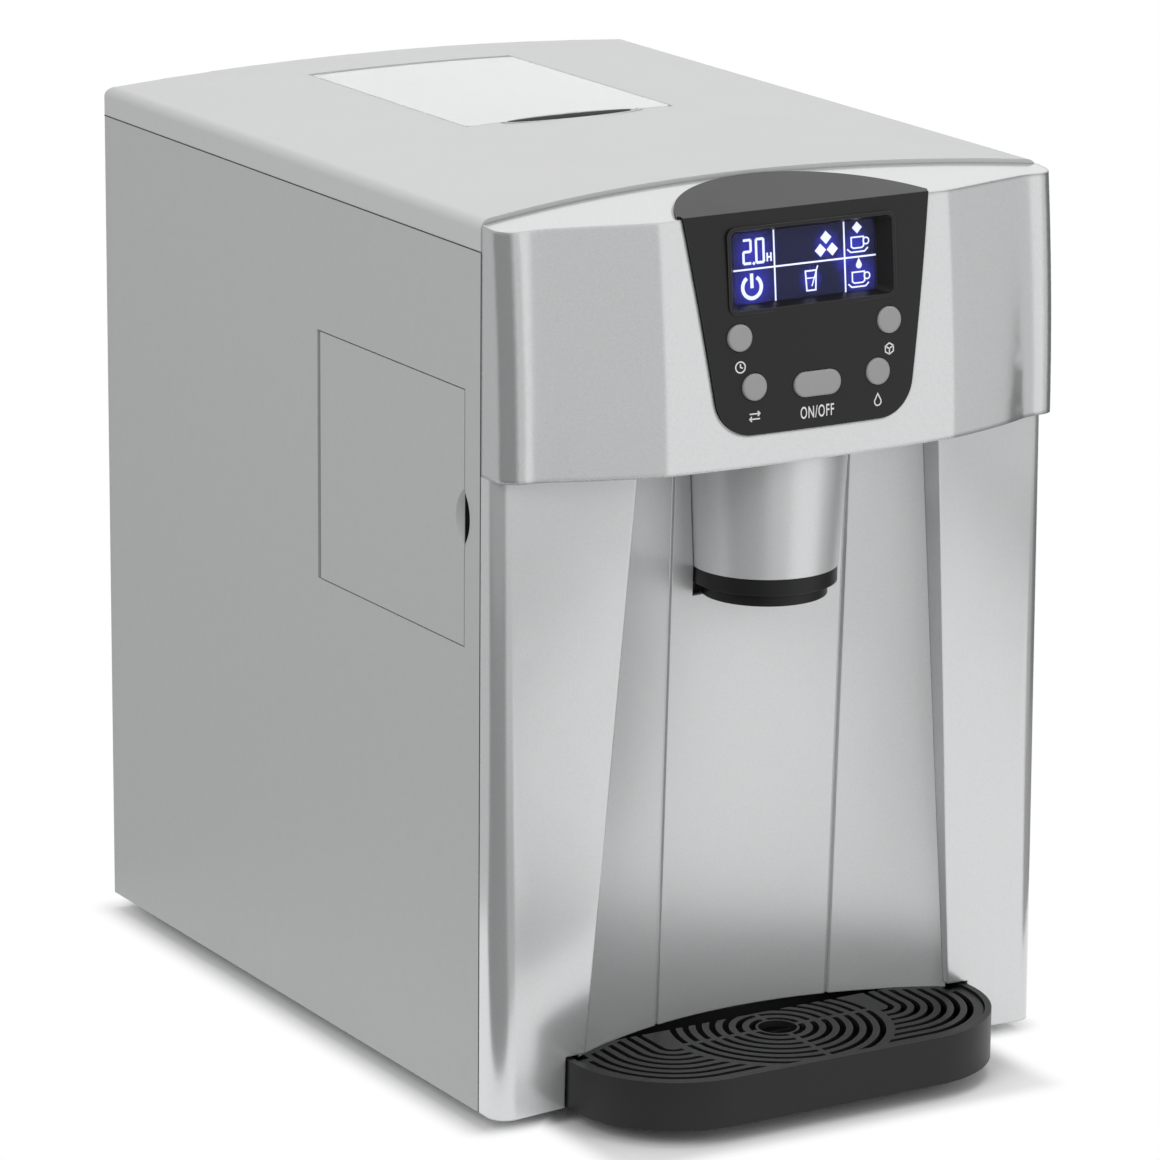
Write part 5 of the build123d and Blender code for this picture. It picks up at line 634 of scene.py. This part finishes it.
clear_part("window_clear", (0.8, 0.81, 0.81), 0.5, 0.16, (0.85, 0.86, 0.86), plastic_bending)
clear_part("display_blue", (0.8, 0.86, 1.0), 0.0, 0.04, (0.7, 0.75, 0.9), lens_bending)
moulded("module_dark", (0.008, 0.01, 0.03), 0.3, 0.03, 900.0, 0.03)
print("finishes", len(finishes))

# %% [markdown]
# ## Small pieces
# What follows is too small for the CAD model: ink on the fascia, the picture on the
# display, thin dark pieces that paint the shade in the finger notch and the scoop and the
# shadow in the seams, and screw heads. Each is a closed mesh that rides the body of its
# carrier, so it moves along when a joint does.

# %% Mesh helpers
mm = 0.001
sharpest_turn = 0.5


def new_piece(name, points, faces, look, slot, body="cabinet"):
    """Make a closed mesh that rides a body, with its own look. The slot argument is not used."""
    mesh = bpy.data.meshes.new(name)
    mesh.from_pydata([tuple(point) for point in points], [], faces)
    shell = bmesh.new()
    shell.from_mesh(mesh)
    bmesh.ops.recalc_face_normals(shell, faces=shell.faces)
    shell.to_mesh(mesh)
    shell.free()
    piece = bpy.data.objects.new(name, mesh)
    scene.collection.objects.link(piece)
    piece.data.materials.append(finishes[look])
    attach(piece, body)


def band(line, width, closed):
    """The two edges of an even band along a flat line, as pairs of points."""
    count = len(line)
    pairs = []
    for n, here in enumerate(line):
        before = line[(n - 1) % count] if closed or n else here
        after = line[(n + 1) % count] if closed or n < count - 1 else here
        ways = [(b - a).normalized() for a, b in ((before, here), (here, after)) if (b - a).length > 0]
        way = sum(ways, Vector((0, 0))).normalized()
        reach = width / 2 / max(way.dot(ways[0]), sharpest_turn)
        aside = Vector((-way.y, way.x)) * reach
        pairs.append((here + aside, here - aside))
    return pairs


def skin(rings, closed=False):
    """The (points, faces) of a solid through rings of equally many points."""
    size = len(rings[0])
    points = [point for ring in rings for point in ring]
    faces = []
    for n in range(len(rings) if closed else len(rings) - 1):
        a, b = size * n, size * ((n + 1) % len(rings))
        faces += [(a + i, a + (i + 1) % size, b + (i + 1) % size, b + i) for i in range(size)]
    if not closed:
        last = size * (len(rings) - 1)
        faces += [tuple(reversed(range(size))), tuple(range(last, last + size))]
    return points, faces


def plate(outline):
    """The (points, faces) of a filled outline as a flat solid, with points (x, y, side)."""
    count = len(outline)
    points = [(*point, 1) for point in outline] + [(*point, 0) for point in outline]
    faces = [tuple(range(count)), tuple(range(2 * count - 1, count - 1, -1))]
    faces += [(n, n + count, (n + 1) % count + count, (n + 1) % count) for n in range(count)]
    return points, faces


def stroke(points, width, closed=False):
    """A line of an even width as a flat solid, with points (x, y, side)."""
    pairs = band([Vector(point) for point in points], width, closed)
    return skin([[(*left, 1), (*right, 1), (*right, 0), (*left, 0)] for left, right in pairs], closed)


def arc(centre, radius, first, last, steps=20):
    """Points along an arc, with its angles in degrees from the right, turning left."""
    turns = [math.radians(first + (last - first) * n / steps) for n in range(steps + 1)]
    return [Vector(centre) + radius * Vector((math.cos(t), math.sin(t))) for t in turns]


def circle(centre, radius, width):
    """A ring of an even width as a flat solid."""
    return stroke(arc(centre, radius, 0, 360)[:-1], width, closed=True)


def merged(shapes):
    """Several (points, faces) shapes as one."""
    points, faces = [], []
    for more_points, more_faces in shapes:
        start = len(points)
        points += more_points
        faces += [tuple(start + i for i in face) for face in more_faces]
    return points, faces


print("points in a ring of ink", len(circle((0, 0), 1.0, 0.1)[0]))

# %% [markdown]
# The fascia is bowed and leans back, so a flat print would cut through it. A ray is sent
# from the front through every point of a symbol, and the point moves to where the ray
# meets the CAD surface. It then rises along the surface's own normal by a hair, which is
# the thickness of the ink.

# %% Lay flat shapes on a surface
ray_start = -1.0
ink_lifts = (-0.05 * mm, 0.09 * mm)


def surface_of(name):
    """A search tree over a CAD node's faces, in the shared frame."""
    mesh = nodes[name].data
    at_rest = nodes[name].matrix_world
    corners = [at_rest @ vertex.co for vertex in mesh.vertices]
    return BVHTree.FromPolygons(corners, [tuple(face.vertices) for face in mesh.polygons])


def laid_on(surface, shape, centre, lifts=ink_lifts):
    """A flat shape in millimetres round a centre (x, z), laid on the surface behind it."""
    points = []
    for across, rise, side in shape[0]:
        start = Vector((centre[0] + across * mm, ray_start, centre[1] + rise * mm))
        place, normal, _, _ = surface.ray_cast(start, Vector((0, 1, 0)))
        points.append(place + normal * lifts[side])
    return points, shape[1]


fascia_surface = surface_of("fascia")
print("fascia middle", [round(x, 3) for x in centre_of("fascia")[0]])

# %% [markdown]
# ### Printed symbols
# White screen print marks each button: a clock for the timer, two arrows that change
# places for the choice, a cube for ice and a drop for water. They are drawn in millimetres
# round their own middles, and sit at one distance below their buttons.

# %% Symbols under the buttons
moulded("print_white", (0.82, 0.82, 0.82), 0.5, 0.02, 2500.0, 0.02)
line_width = 0.62
label_drop = 5.2
clock_radius = 2.4
clock_hands = ((0, 1.5), (0, 0), (1.2, -0.5))
arrow_half, arrow_head, upper_arrow, lower_arrow = 2.6, 1.1, 1.0, -1.3
cube_size = 2.5


def drop_outline(centre, radius, tip):
    """A drop: most of a circle, closed by a tip above it."""
    return arc(centre, radius, 145, 395, 18) + [Vector((centre[0], centre[1] + tip))]


def cube_lines(centre, size, width):
    """A cube seen on its corner: a hexagon and the three edges that meet in the middle."""
    corners = arc(centre, size, 90, 390, 5)
    spokes = [stroke([centre, corners[n]], width) for n in (1, 3, 5)]
    return [stroke(corners, width, closed=True)] + spokes


def arrow(start, end, head, width):
    """A line with an open head at its end."""
    start, end = Vector(start), Vector(end)
    back = (start - end).normalized() * head
    side = Vector((-back.y, back.x))
    return [stroke([start, end], width), stroke([end + back + side, end, end + back - side], width)]


def label_spot(button):
    """The place of a label, straight below its button."""
    centre, half = centre_of(button)
    return centre.x, centre.z - half.z - label_drop * mm


change = arrow((-arrow_half, upper_arrow), (arrow_half, upper_arrow), arrow_head, line_width)
change += arrow((arrow_half, lower_arrow), (-arrow_half, lower_arrow), arrow_head, line_width)
clock = [circle((0, 0), clock_radius, line_width), stroke(clock_hands, line_width)]
symbols = {
    "timer_button": ("print_clock", clock),
    "select_button": ("print_change", change),
    "ice_button": ("print_cube", cube_lines(Vector((0, 0)), cube_size, line_width)),
    "water_button": ("print_drop", [stroke(drop_outline((0, -0.7), 1.75, 3.5), line_width, closed=True)]),
}
for button, (name, shapes) in symbols.items():
    printed = laid_on(fascia_surface, merged(shapes), label_spot(button))
    new_piece(name, *printed, "print_white", "white_plastic")
print("printed symbols", len(symbols))

# %% [markdown]
# Plain capitals mark the on/off switch. They start as a text object, whose outline is
# thickened and whose letters stand a little apart. Its mesh is then squeezed to the size
# of the print.

# %% Capitals under the switch
letter_gap = 1.14
letter_weight = 0.008
label_size = (17.4, 5.4)


def letters(words):
    """Text as a flat solid in millimetres, centred and squeezed to the label's size."""
    curve = bpy.data.curves.new("letters", "FONT")
    curve.body = words
    curve.space_character = letter_gap
    curve.offset = letter_weight
    curve.extrude = 0.5
    source = bpy.data.objects.new("letters", curve)
    scene.collection.objects.link(source)
    mesh = bpy.data.meshes.new_from_object(source.evaluated_get(bpy.context.evaluated_depsgraph_get()))
    bpy.data.objects.remove(source)
    columns = []
    for axis, size in enumerate(label_size):
        places = [vertex.co[axis] for vertex in mesh.vertices]
        low, high = min(places), max(places)
        columns.append([(place - (low + high) / 2) / (high - low) * size for place in places])
    sides = [int(vertex.co.z > 0) for vertex in mesh.vertices]
    return list(zip(*columns, sides)), [tuple(face.vertices) for face in mesh.polygons]


switch_print = laid_on(fascia_surface, letters("ON/OFF"), label_spot("power_button"))
new_piece("print_on_off", *switch_print, "print_white", "white_plastic")
print("letter points", len(switch_print[0]))

# %% [markdown]
# ### Lit display
# The display is a blue panel whose symbols are lit from behind, so the blue is strong
# beside each symbol and sinks to navy in the empty fields. A group makes one round spot
# of light from a centre and a reach.

# %% Glow spot
spot, spot_in, spot_out = effect(
    "glow_spot", {"Across": 0.0, "Height": 0.388, "Reach": 0.01}, {"Mask": number}
)
middle_place = {"X": spot_in["Across"], "Z": spot_in["Height"]}
spot_middle = add_node(spot, "ShaderNodeCombineXYZ", values=middle_place)
flat_place = vectors(spot, "MULTIPLY", object_places(spot), (1.0, 0.0, 1.0))["Vector"]
apart = vectors(spot, "DISTANCE", flat_place, spot_middle.outputs["Vector"])["Value"]
fading = {"From Max": spot_in["Reach"], "To Min": 1.0, "To Max": 0.0}
fill(spot, spot_out, {"Mask": remapped(spot, apart, fading, "SMOOTHSTEP")})
print("group", spot.name, "nodes", len(spot.nodes))

# %% [markdown]
# The largest of several spots blends navy into blue. The picture is a thin sheet that lies
# inside the thickness of the lens, so the lens keeps its real gloss. It is laid on the
# display module behind it in narrow columns.

# %% Display picture
lens_middle, lens_half = centre_of("display_lens")
# across and up from the middle of the display, and the reach, all in millimetres
glows = ((-26, 6, 14), (-27, -8, 15), (12, 6, 9), (3, -8, 7.5), (28, -9, 12), (27, 5, 9), (22, -1, 9))
navy, blue = (0.004, 0.004, 0.016), (0.03, 0.03, 0.42)
unlit = {"Base_Color": (0.01, 0.01, 0.03, 1), "Roughness": 0.4, "Specular_IOR_Level": 0.1}
tree, shader = finish("display_picture", Emission_Strength=1.0, **unlit)
masks = []
for across, rise, reach in glows:
    place = {"Across": across * mm, "Height": lens_middle.z + rise * mm, "Reach": reach * mm}
    masks.append(place_effect(tree, spot, **place)["Mask"])
lit = masks[0]
for mask in masks[1:]:
    lit = calculated(tree, "MAXIMUM", lit, mask)
fill(tree, shader, {"Emission Color": tones(tree, lit, navy, blue)})

sheet_margin = 0.2
column_pairs = 12
picture_lifts = (0.1 * mm, 0.3 * mm)
module_surface = surface_of("display_module")
display_middle = (0.0, lens_middle.z)
half_wide, half_high = lens_half.x / mm - sheet_margin, lens_half.z / mm - sheet_margin
columns = [half_wide * n / column_pairs for n in range(-column_pairs, column_pairs + 1)]
rim = [Vector((x, half_high)) for x in columns] + [Vector((x, -half_high)) for x in reversed(columns)]
picture = laid_on(module_surface, plate(rim), display_middle, picture_lifts)
new_piece("display_sheet", *picture, "display_picture", "display_blue")
print("picture half size", round(half_wide, 1), round(half_high, 1))

# %% [markdown]
# The lit symbols are drawn with the same strokes as the print, in millimetres from the
# display's middle: seven-bar digits for the hours, a switch sign, three cubes, a glass, and
# a cup that takes either a cube or a drop.

# %% Display symbols
symbol_colours = {"Base_Color": (0.5, 0.5, 0.55, 1), "Emission_Color": (0.78, 0.8, 1.0, 1)}
finish("display_symbols", Roughness=0.5, Emission_Strength=0.75, **symbol_colours)
symbol_lifts = (0.25 * mm, 0.45 * mm)
divider_width, divider_rise = 0.75, -0.7
left_divider, right_divider = -15.4, 21.1
# Which of the seven bars each digit lights, from the top bar round to the middle one
bars_of = {"2": "abged", "0": "abcdef", "H": "bcefg"}
# The low edge, width and height of a digit, and the width of its bars
hour_digit = (1.9, 3.8, 10.2, 1.15)
unit_digit = (1.9, 1.9, 3.8, 0.75)
cup_line, handle_line = 0.65, 0.6
bowl_corners = ((-3.2, 2.4), (-3.2, -1.7), (-2.2, -2.4), (2.2, -2.4), (3.2, -1.7), (3.2, 2.4))
saucer_corners = ((-5.4, -2.6), (-3.6, -4.1), (3.6, -4.1), (5.4, -2.6))
handle_aside, handle_rise, handle_radius = 4.5, 0.4, 1.45


def digit(mark, left, low, wide, high, width):
    """A seven-bar digit inside a box."""
    right, middle_rise, top = left + wide, low + high / 2, low + high
    ends = {
        "a": ((left, top), (right, top)),
        "b": ((right, top), (right, middle_rise)),
        "c": ((right, middle_rise), (right, low)),
        "d": ((left, low), (right, low)),
        "e": ((left, middle_rise), (left, low)),
        "f": ((left, top), (left, middle_rise)),
        "g": ((left, middle_rise), (right, middle_rise)),
    }
    return [stroke(ends[bar], width) for bar in bars_of[mark]]


def diamond(centre, size):
    """A filled square on its corner."""
    return plate(arc(centre, size, 0, 270, 3))


def cup(x, y):
    """A cup with its handle and saucer, round the middle of its bowl."""
    bowl = [(x + across, y + rise) for across, rise in bowl_corners]
    saucer = [(x + across, y + rise) for across, rise in saucer_corners]
    handle = circle((x + handle_aside, y + handle_rise), handle_radius, handle_line)
    return [stroke(bowl, cup_line, closed=True), handle, stroke(saucer, cup_line)]


dividers = [stroke([(-half_wide, divider_rise), (half_wide, divider_rise)], divider_width)]
for x in (left_divider, right_divider):
    dividers.append(stroke([(x, -half_high), (x, half_high)], divider_width))
decimal_point = diamond((-26.0, 1.7), 0.85)
hours = digit("2", -31.2, *hour_digit) + digit("0", -24.6, *hour_digit)
hours += [decimal_point] + digit("H", -19.0, *unit_digit)
switch_sign = [stroke(arc((-27.4, -8.6), 4.8, 122, 418), 1.7), stroke([(-27.4, -2.6), (-27.4, -9.0)], 1.6)]
cubes = [diamond(place, 2.9) for place in ((11.6, 9.4), (8.6, 4.0), (14.8, 4.0))]
glass = [
    stroke([(0.4, -4.4), (0.9, -13.0), (5.5, -13.0), (6.0, -4.4)], 0.7, closed=True),
    stroke([(0.8, -7.6), (5.6, -7.6)], 0.5),
    stroke([(3.6, -11.2), (6.9, -2.4)], 0.55),
]
ice_cup = [diamond((28.0, 12.2), 2.6)] + cup(28.0, 5.6)
water_cup = [plate(drop_outline((28.4, -4.4), 1.5, 3.2))] + cup(28.0, -9.8)
lit_shapes = merged(dividers + hours + switch_sign + cubes + glass + ice_cup + water_cup)
signs = laid_on(module_surface, lit_shapes, display_middle, symbol_lifts)
new_piece("display_signs", *signs, "display_symbols", "white_plastic")
print("display points", len(signs[0]))

# %% [markdown]
# ### Finger notch
# Beside the filter door's front edge a lens-shaped notch takes a finger. Its floor is
# painted like the sides, and a slot in it opens onto the cabinet's inside. A near-black
# plate paints the shade in that slot. Both are half lenses: the part of a circle that
# reaches past the door's edge.

# %% Notch beside the filter door
# near black with almost no gloss: the painted shade in the notch's slot
moulded("notch_painted_shade", (0.003, 0.003, 0.003), 0.7, 0.04, 900.0, 0.04, Specular_IOR_Level=0.05)
door_middle, door_half = centre_of("side_door")
panel_middle, panel_half = centre_of("left_panel")
notch_edge = door_middle.y - door_half.y
side_face = panel_middle.x - panel_half.x
# half the height, how far it reaches past the edge, how deep it lies and how thick it is
floor_sizes = (13.4 * mm, 6.9 * mm, 0.5 * mm, 0.4 * mm)
shade_plate_sizes = (11.5 * mm, 4.2 * mm, 0.45 * mm, 0.3 * mm)


def notch_plate(name, half_height, bite, sunk, thick, look, slot):
    """A half lens in front of the door's edge, as a plate under the panel's face."""
    radius = (half_height**2 + bite**2) / (2 * bite)
    turn = math.degrees(math.asin(half_height / radius))
    outline = arc((notch_edge - bite + radius, door_middle.z), radius, 180 - turn, 180 + turn)
    points, faces = plate(outline)
    points = [(side_face + sunk + (1 - side) * thick, y, z) for y, z, side in points]
    new_piece(name, points, faces, look, slot)


notch_plate("notch_floor", *floor_sizes, "side_paint", "side_paint")
# the plate of painted shade, a little in front of the notch's floor
notch_plate("notch_shade_plate", *shade_plate_sizes, "notch_painted_shade", "black_satin")
print("notch ends at", round(notch_edge, 4))

# %% [markdown]
# ### Painted shade in the scoop
# In front of the ice window a scoop lets a fingertip lift it. The hollow itself is in the
# CAD. Thin dark grey strips line its walls and paint the shade that lies in the hollow.
# What shows from the front is its far wall, which belongs to the window, so one curved
# strip lines that half and swings with the window, and another lines the half in the lid.

# %% Painted shade in the scoop
# dark grey strips that paint the shade in the scoop's hollow
moulded("scoop_grey", (0.06, 0.06, 0.062), 0.3, 0.04, 500.0, 0.02)
window_middle, window_half = centre_of("ice_window")
lid_middle, lid_half = centre_of("top_cover")
lid_top = lid_middle.z + lid_half.z
scoop_ahead = 1.5 * mm
scoop_middle_y = window_middle.y - window_half.y - scoop_ahead
scoop_reach = (36 * mm, 6 * mm)
scoop_deep = 5.5 * mm
scoop_narrowing = 0.15
lining_gap, lining_wall = 0.15 * mm, 0.4 * mm
lining_top, window_lining_deep, lid_lining_deep = 0.35 * mm, 4.2 * mm, 5.3 * mm
lining_step = 5


def scoop_shade_strip(name, body, first, last, low):
    """A thin strip of painted shade along part of the scoop's wall, down to a depth under the lid's top."""
    rings = []
    for turn in range(first, last + 1, lining_step):
        angle = math.radians(turn)
        ring = []
        for depth, inset in ((low, 0), (lining_top, 0), (lining_top, lining_wall), (low, lining_wall)):
            share = 1 - scoop_narrowing * depth / scoop_deep
            across, along = (half * share - lining_gap - inset for half in scoop_reach)
            y = scoop_middle_y + along * math.sin(angle)
            ring.append((across * math.cos(angle), y, lid_top - depth))
        rings.append(ring)
    new_piece(name, *skin(rings), "scoop_grey", "black_panel", body)


scoop_shade_strip("scoop_shade_window", "window", 20, 160, window_lining_deep)
scoop_shade_strip("scoop_shade_lid", "cabinet", 180, 360, lid_lining_deep)
print("scoop middle", round(scoop_middle_y, 4))

# %% [markdown]
# ### Shadow beads
# Thin dark lines mark where the lid meets the sides and where the sides meet the front.
# They are beads in the black rubber finish that stand a hair proud of the joint and paint
# the shadow that lies in each seam. One path runs round the lid's lower edge, and a
# straight bead closes each front seam.

# %% Painted shadow in the seams
bead_proud, bead_deep, bead_half = 0.1 * mm, 0.7 * mm, 0.25 * mm
lid_rear, lid_front = lid_middle.y + lid_half.y, lid_middle.y - lid_half.y
seam_high = panel_middle.z + panel_half.z
seam_low = panel_middle.z - panel_half.z
seam_front = panel_middle.y - panel_half.y


def bead_ring(x, y, grow_x, grow_y, rise):
    """The four corners of a bead's section: outside low and high, inside high and low."""
    outside = (x + bead_proud * grow_x, y + bead_proud * grow_y)
    inside = (x - bead_deep * grow_x, y - bead_deep * grow_y)
    low, high = rise - bead_half, rise + bead_half
    return [(*outside, low), (*outside, high), (*inside, high), (*inside, low)]


lid_path = ((-1, lid_front, 0), (-1, lid_rear, 1), (1, lid_rear, 1), (1, lid_front, 0))
shadow_beads = [skin([bead_ring(way * lid_half.x, y, way, grow, seam_high) for way, y, grow in lid_path])]
for way in (-1, 1):
    outer, inner = way * (lid_half.x + bead_proud), way * (lid_half.x - bead_deep)
    section = [(outer, -bead_half), (outer, bead_half), (inner, bead_half), (inner, -bead_half)]
    rises = (seam_low, seam_high - bead_half)
    shadow_beads.append(skin([[(x, seam_front + y, rise) for x, y in section] for rise in rises]))
# the beads paint the shadow in the seams
new_piece("seam_shadow_beads", *merged(shadow_beads), "rubber_black", "rubber_black")
print("seam shadow beads", len(shadow_beads))

# %% [markdown]
# ### Screws
# Six pan-head screws with a cross recess hold the rear panel. A head is a skin through
# rings of twelve points: twelve is also the count of a cross's corners, so the last rings
# can be the recess itself.

# %% Rear panel screws
head_rise = 1.7
cross_arm, cross_half, cross_deep = 2.0, 0.5, 1.1
screw_columns, screw_rows = (-137, 137), (68, 223, 378)
# the reach and the height of a head in millimetres, from its foot to its flat top
head_profile = ((3.4, 0.0), (3.4, 0.6), (2.924, 1.3), (2.38, head_rise))
screw_spots = [(across, rise) for across in screw_columns for rise in screw_rows]
arm_corners = ((cross_half, -cross_arm), (cross_half, -cross_half), (cross_arm, -cross_half))
cross = []
for quarter in range(4):
    cos, sin = math.cos(math.pi / 2 * quarter), math.sin(math.pi / 2 * quarter)
    cross += [(along * cos - aside * sin, along * sin + aside * cos) for along, aside in arm_corners]
ways = [Vector(corner).normalized() for corner in cross]
rear_middle, rear_half = centre_of("rear_panel")
rear_face = rear_middle.y + rear_half.y
rings = [[(way.x * reach, way.y * reach, proud) for way in ways] for reach, proud in head_profile]
rings += [[(*corner, proud) for corner in cross] for proud in (head_rise, head_rise - cross_deep)]
head_points, head_faces = skin(rings)
screws = []
for across, rise in screw_spots:
    upright = [((across + x) * mm, rear_face + out * mm, (rise + y) * mm) for x, y, out in head_points]
    screws.append((upright, head_faces))
new_piece("rear_screws", *merged(screws), "steel", "steel")
print("screws", len(screws))

# %% [markdown]
# ## Dress the nodes
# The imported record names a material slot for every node, and the finishes carry the same
# names, so one loop can dress the whole machine. The alcove and the chute in it have a
# silver of their own. The last line prints any slot that has no finish.

# %% Assign the finishes
slot_of = {entry["node"]: entry["material_slot"] for entry in frame["record"]["subparts"]}
own_look = {"alcove_liner": "silver_alcove", "chute_shroud": "silver_alcove"}
for name, piece in nodes.items():
    piece.data.materials.clear()
    piece.data.materials.append(finishes[own_look.get(name, slot_of[name])])
print("slots without a finish", sorted(set(slot_of.values()) - set(finishes)))
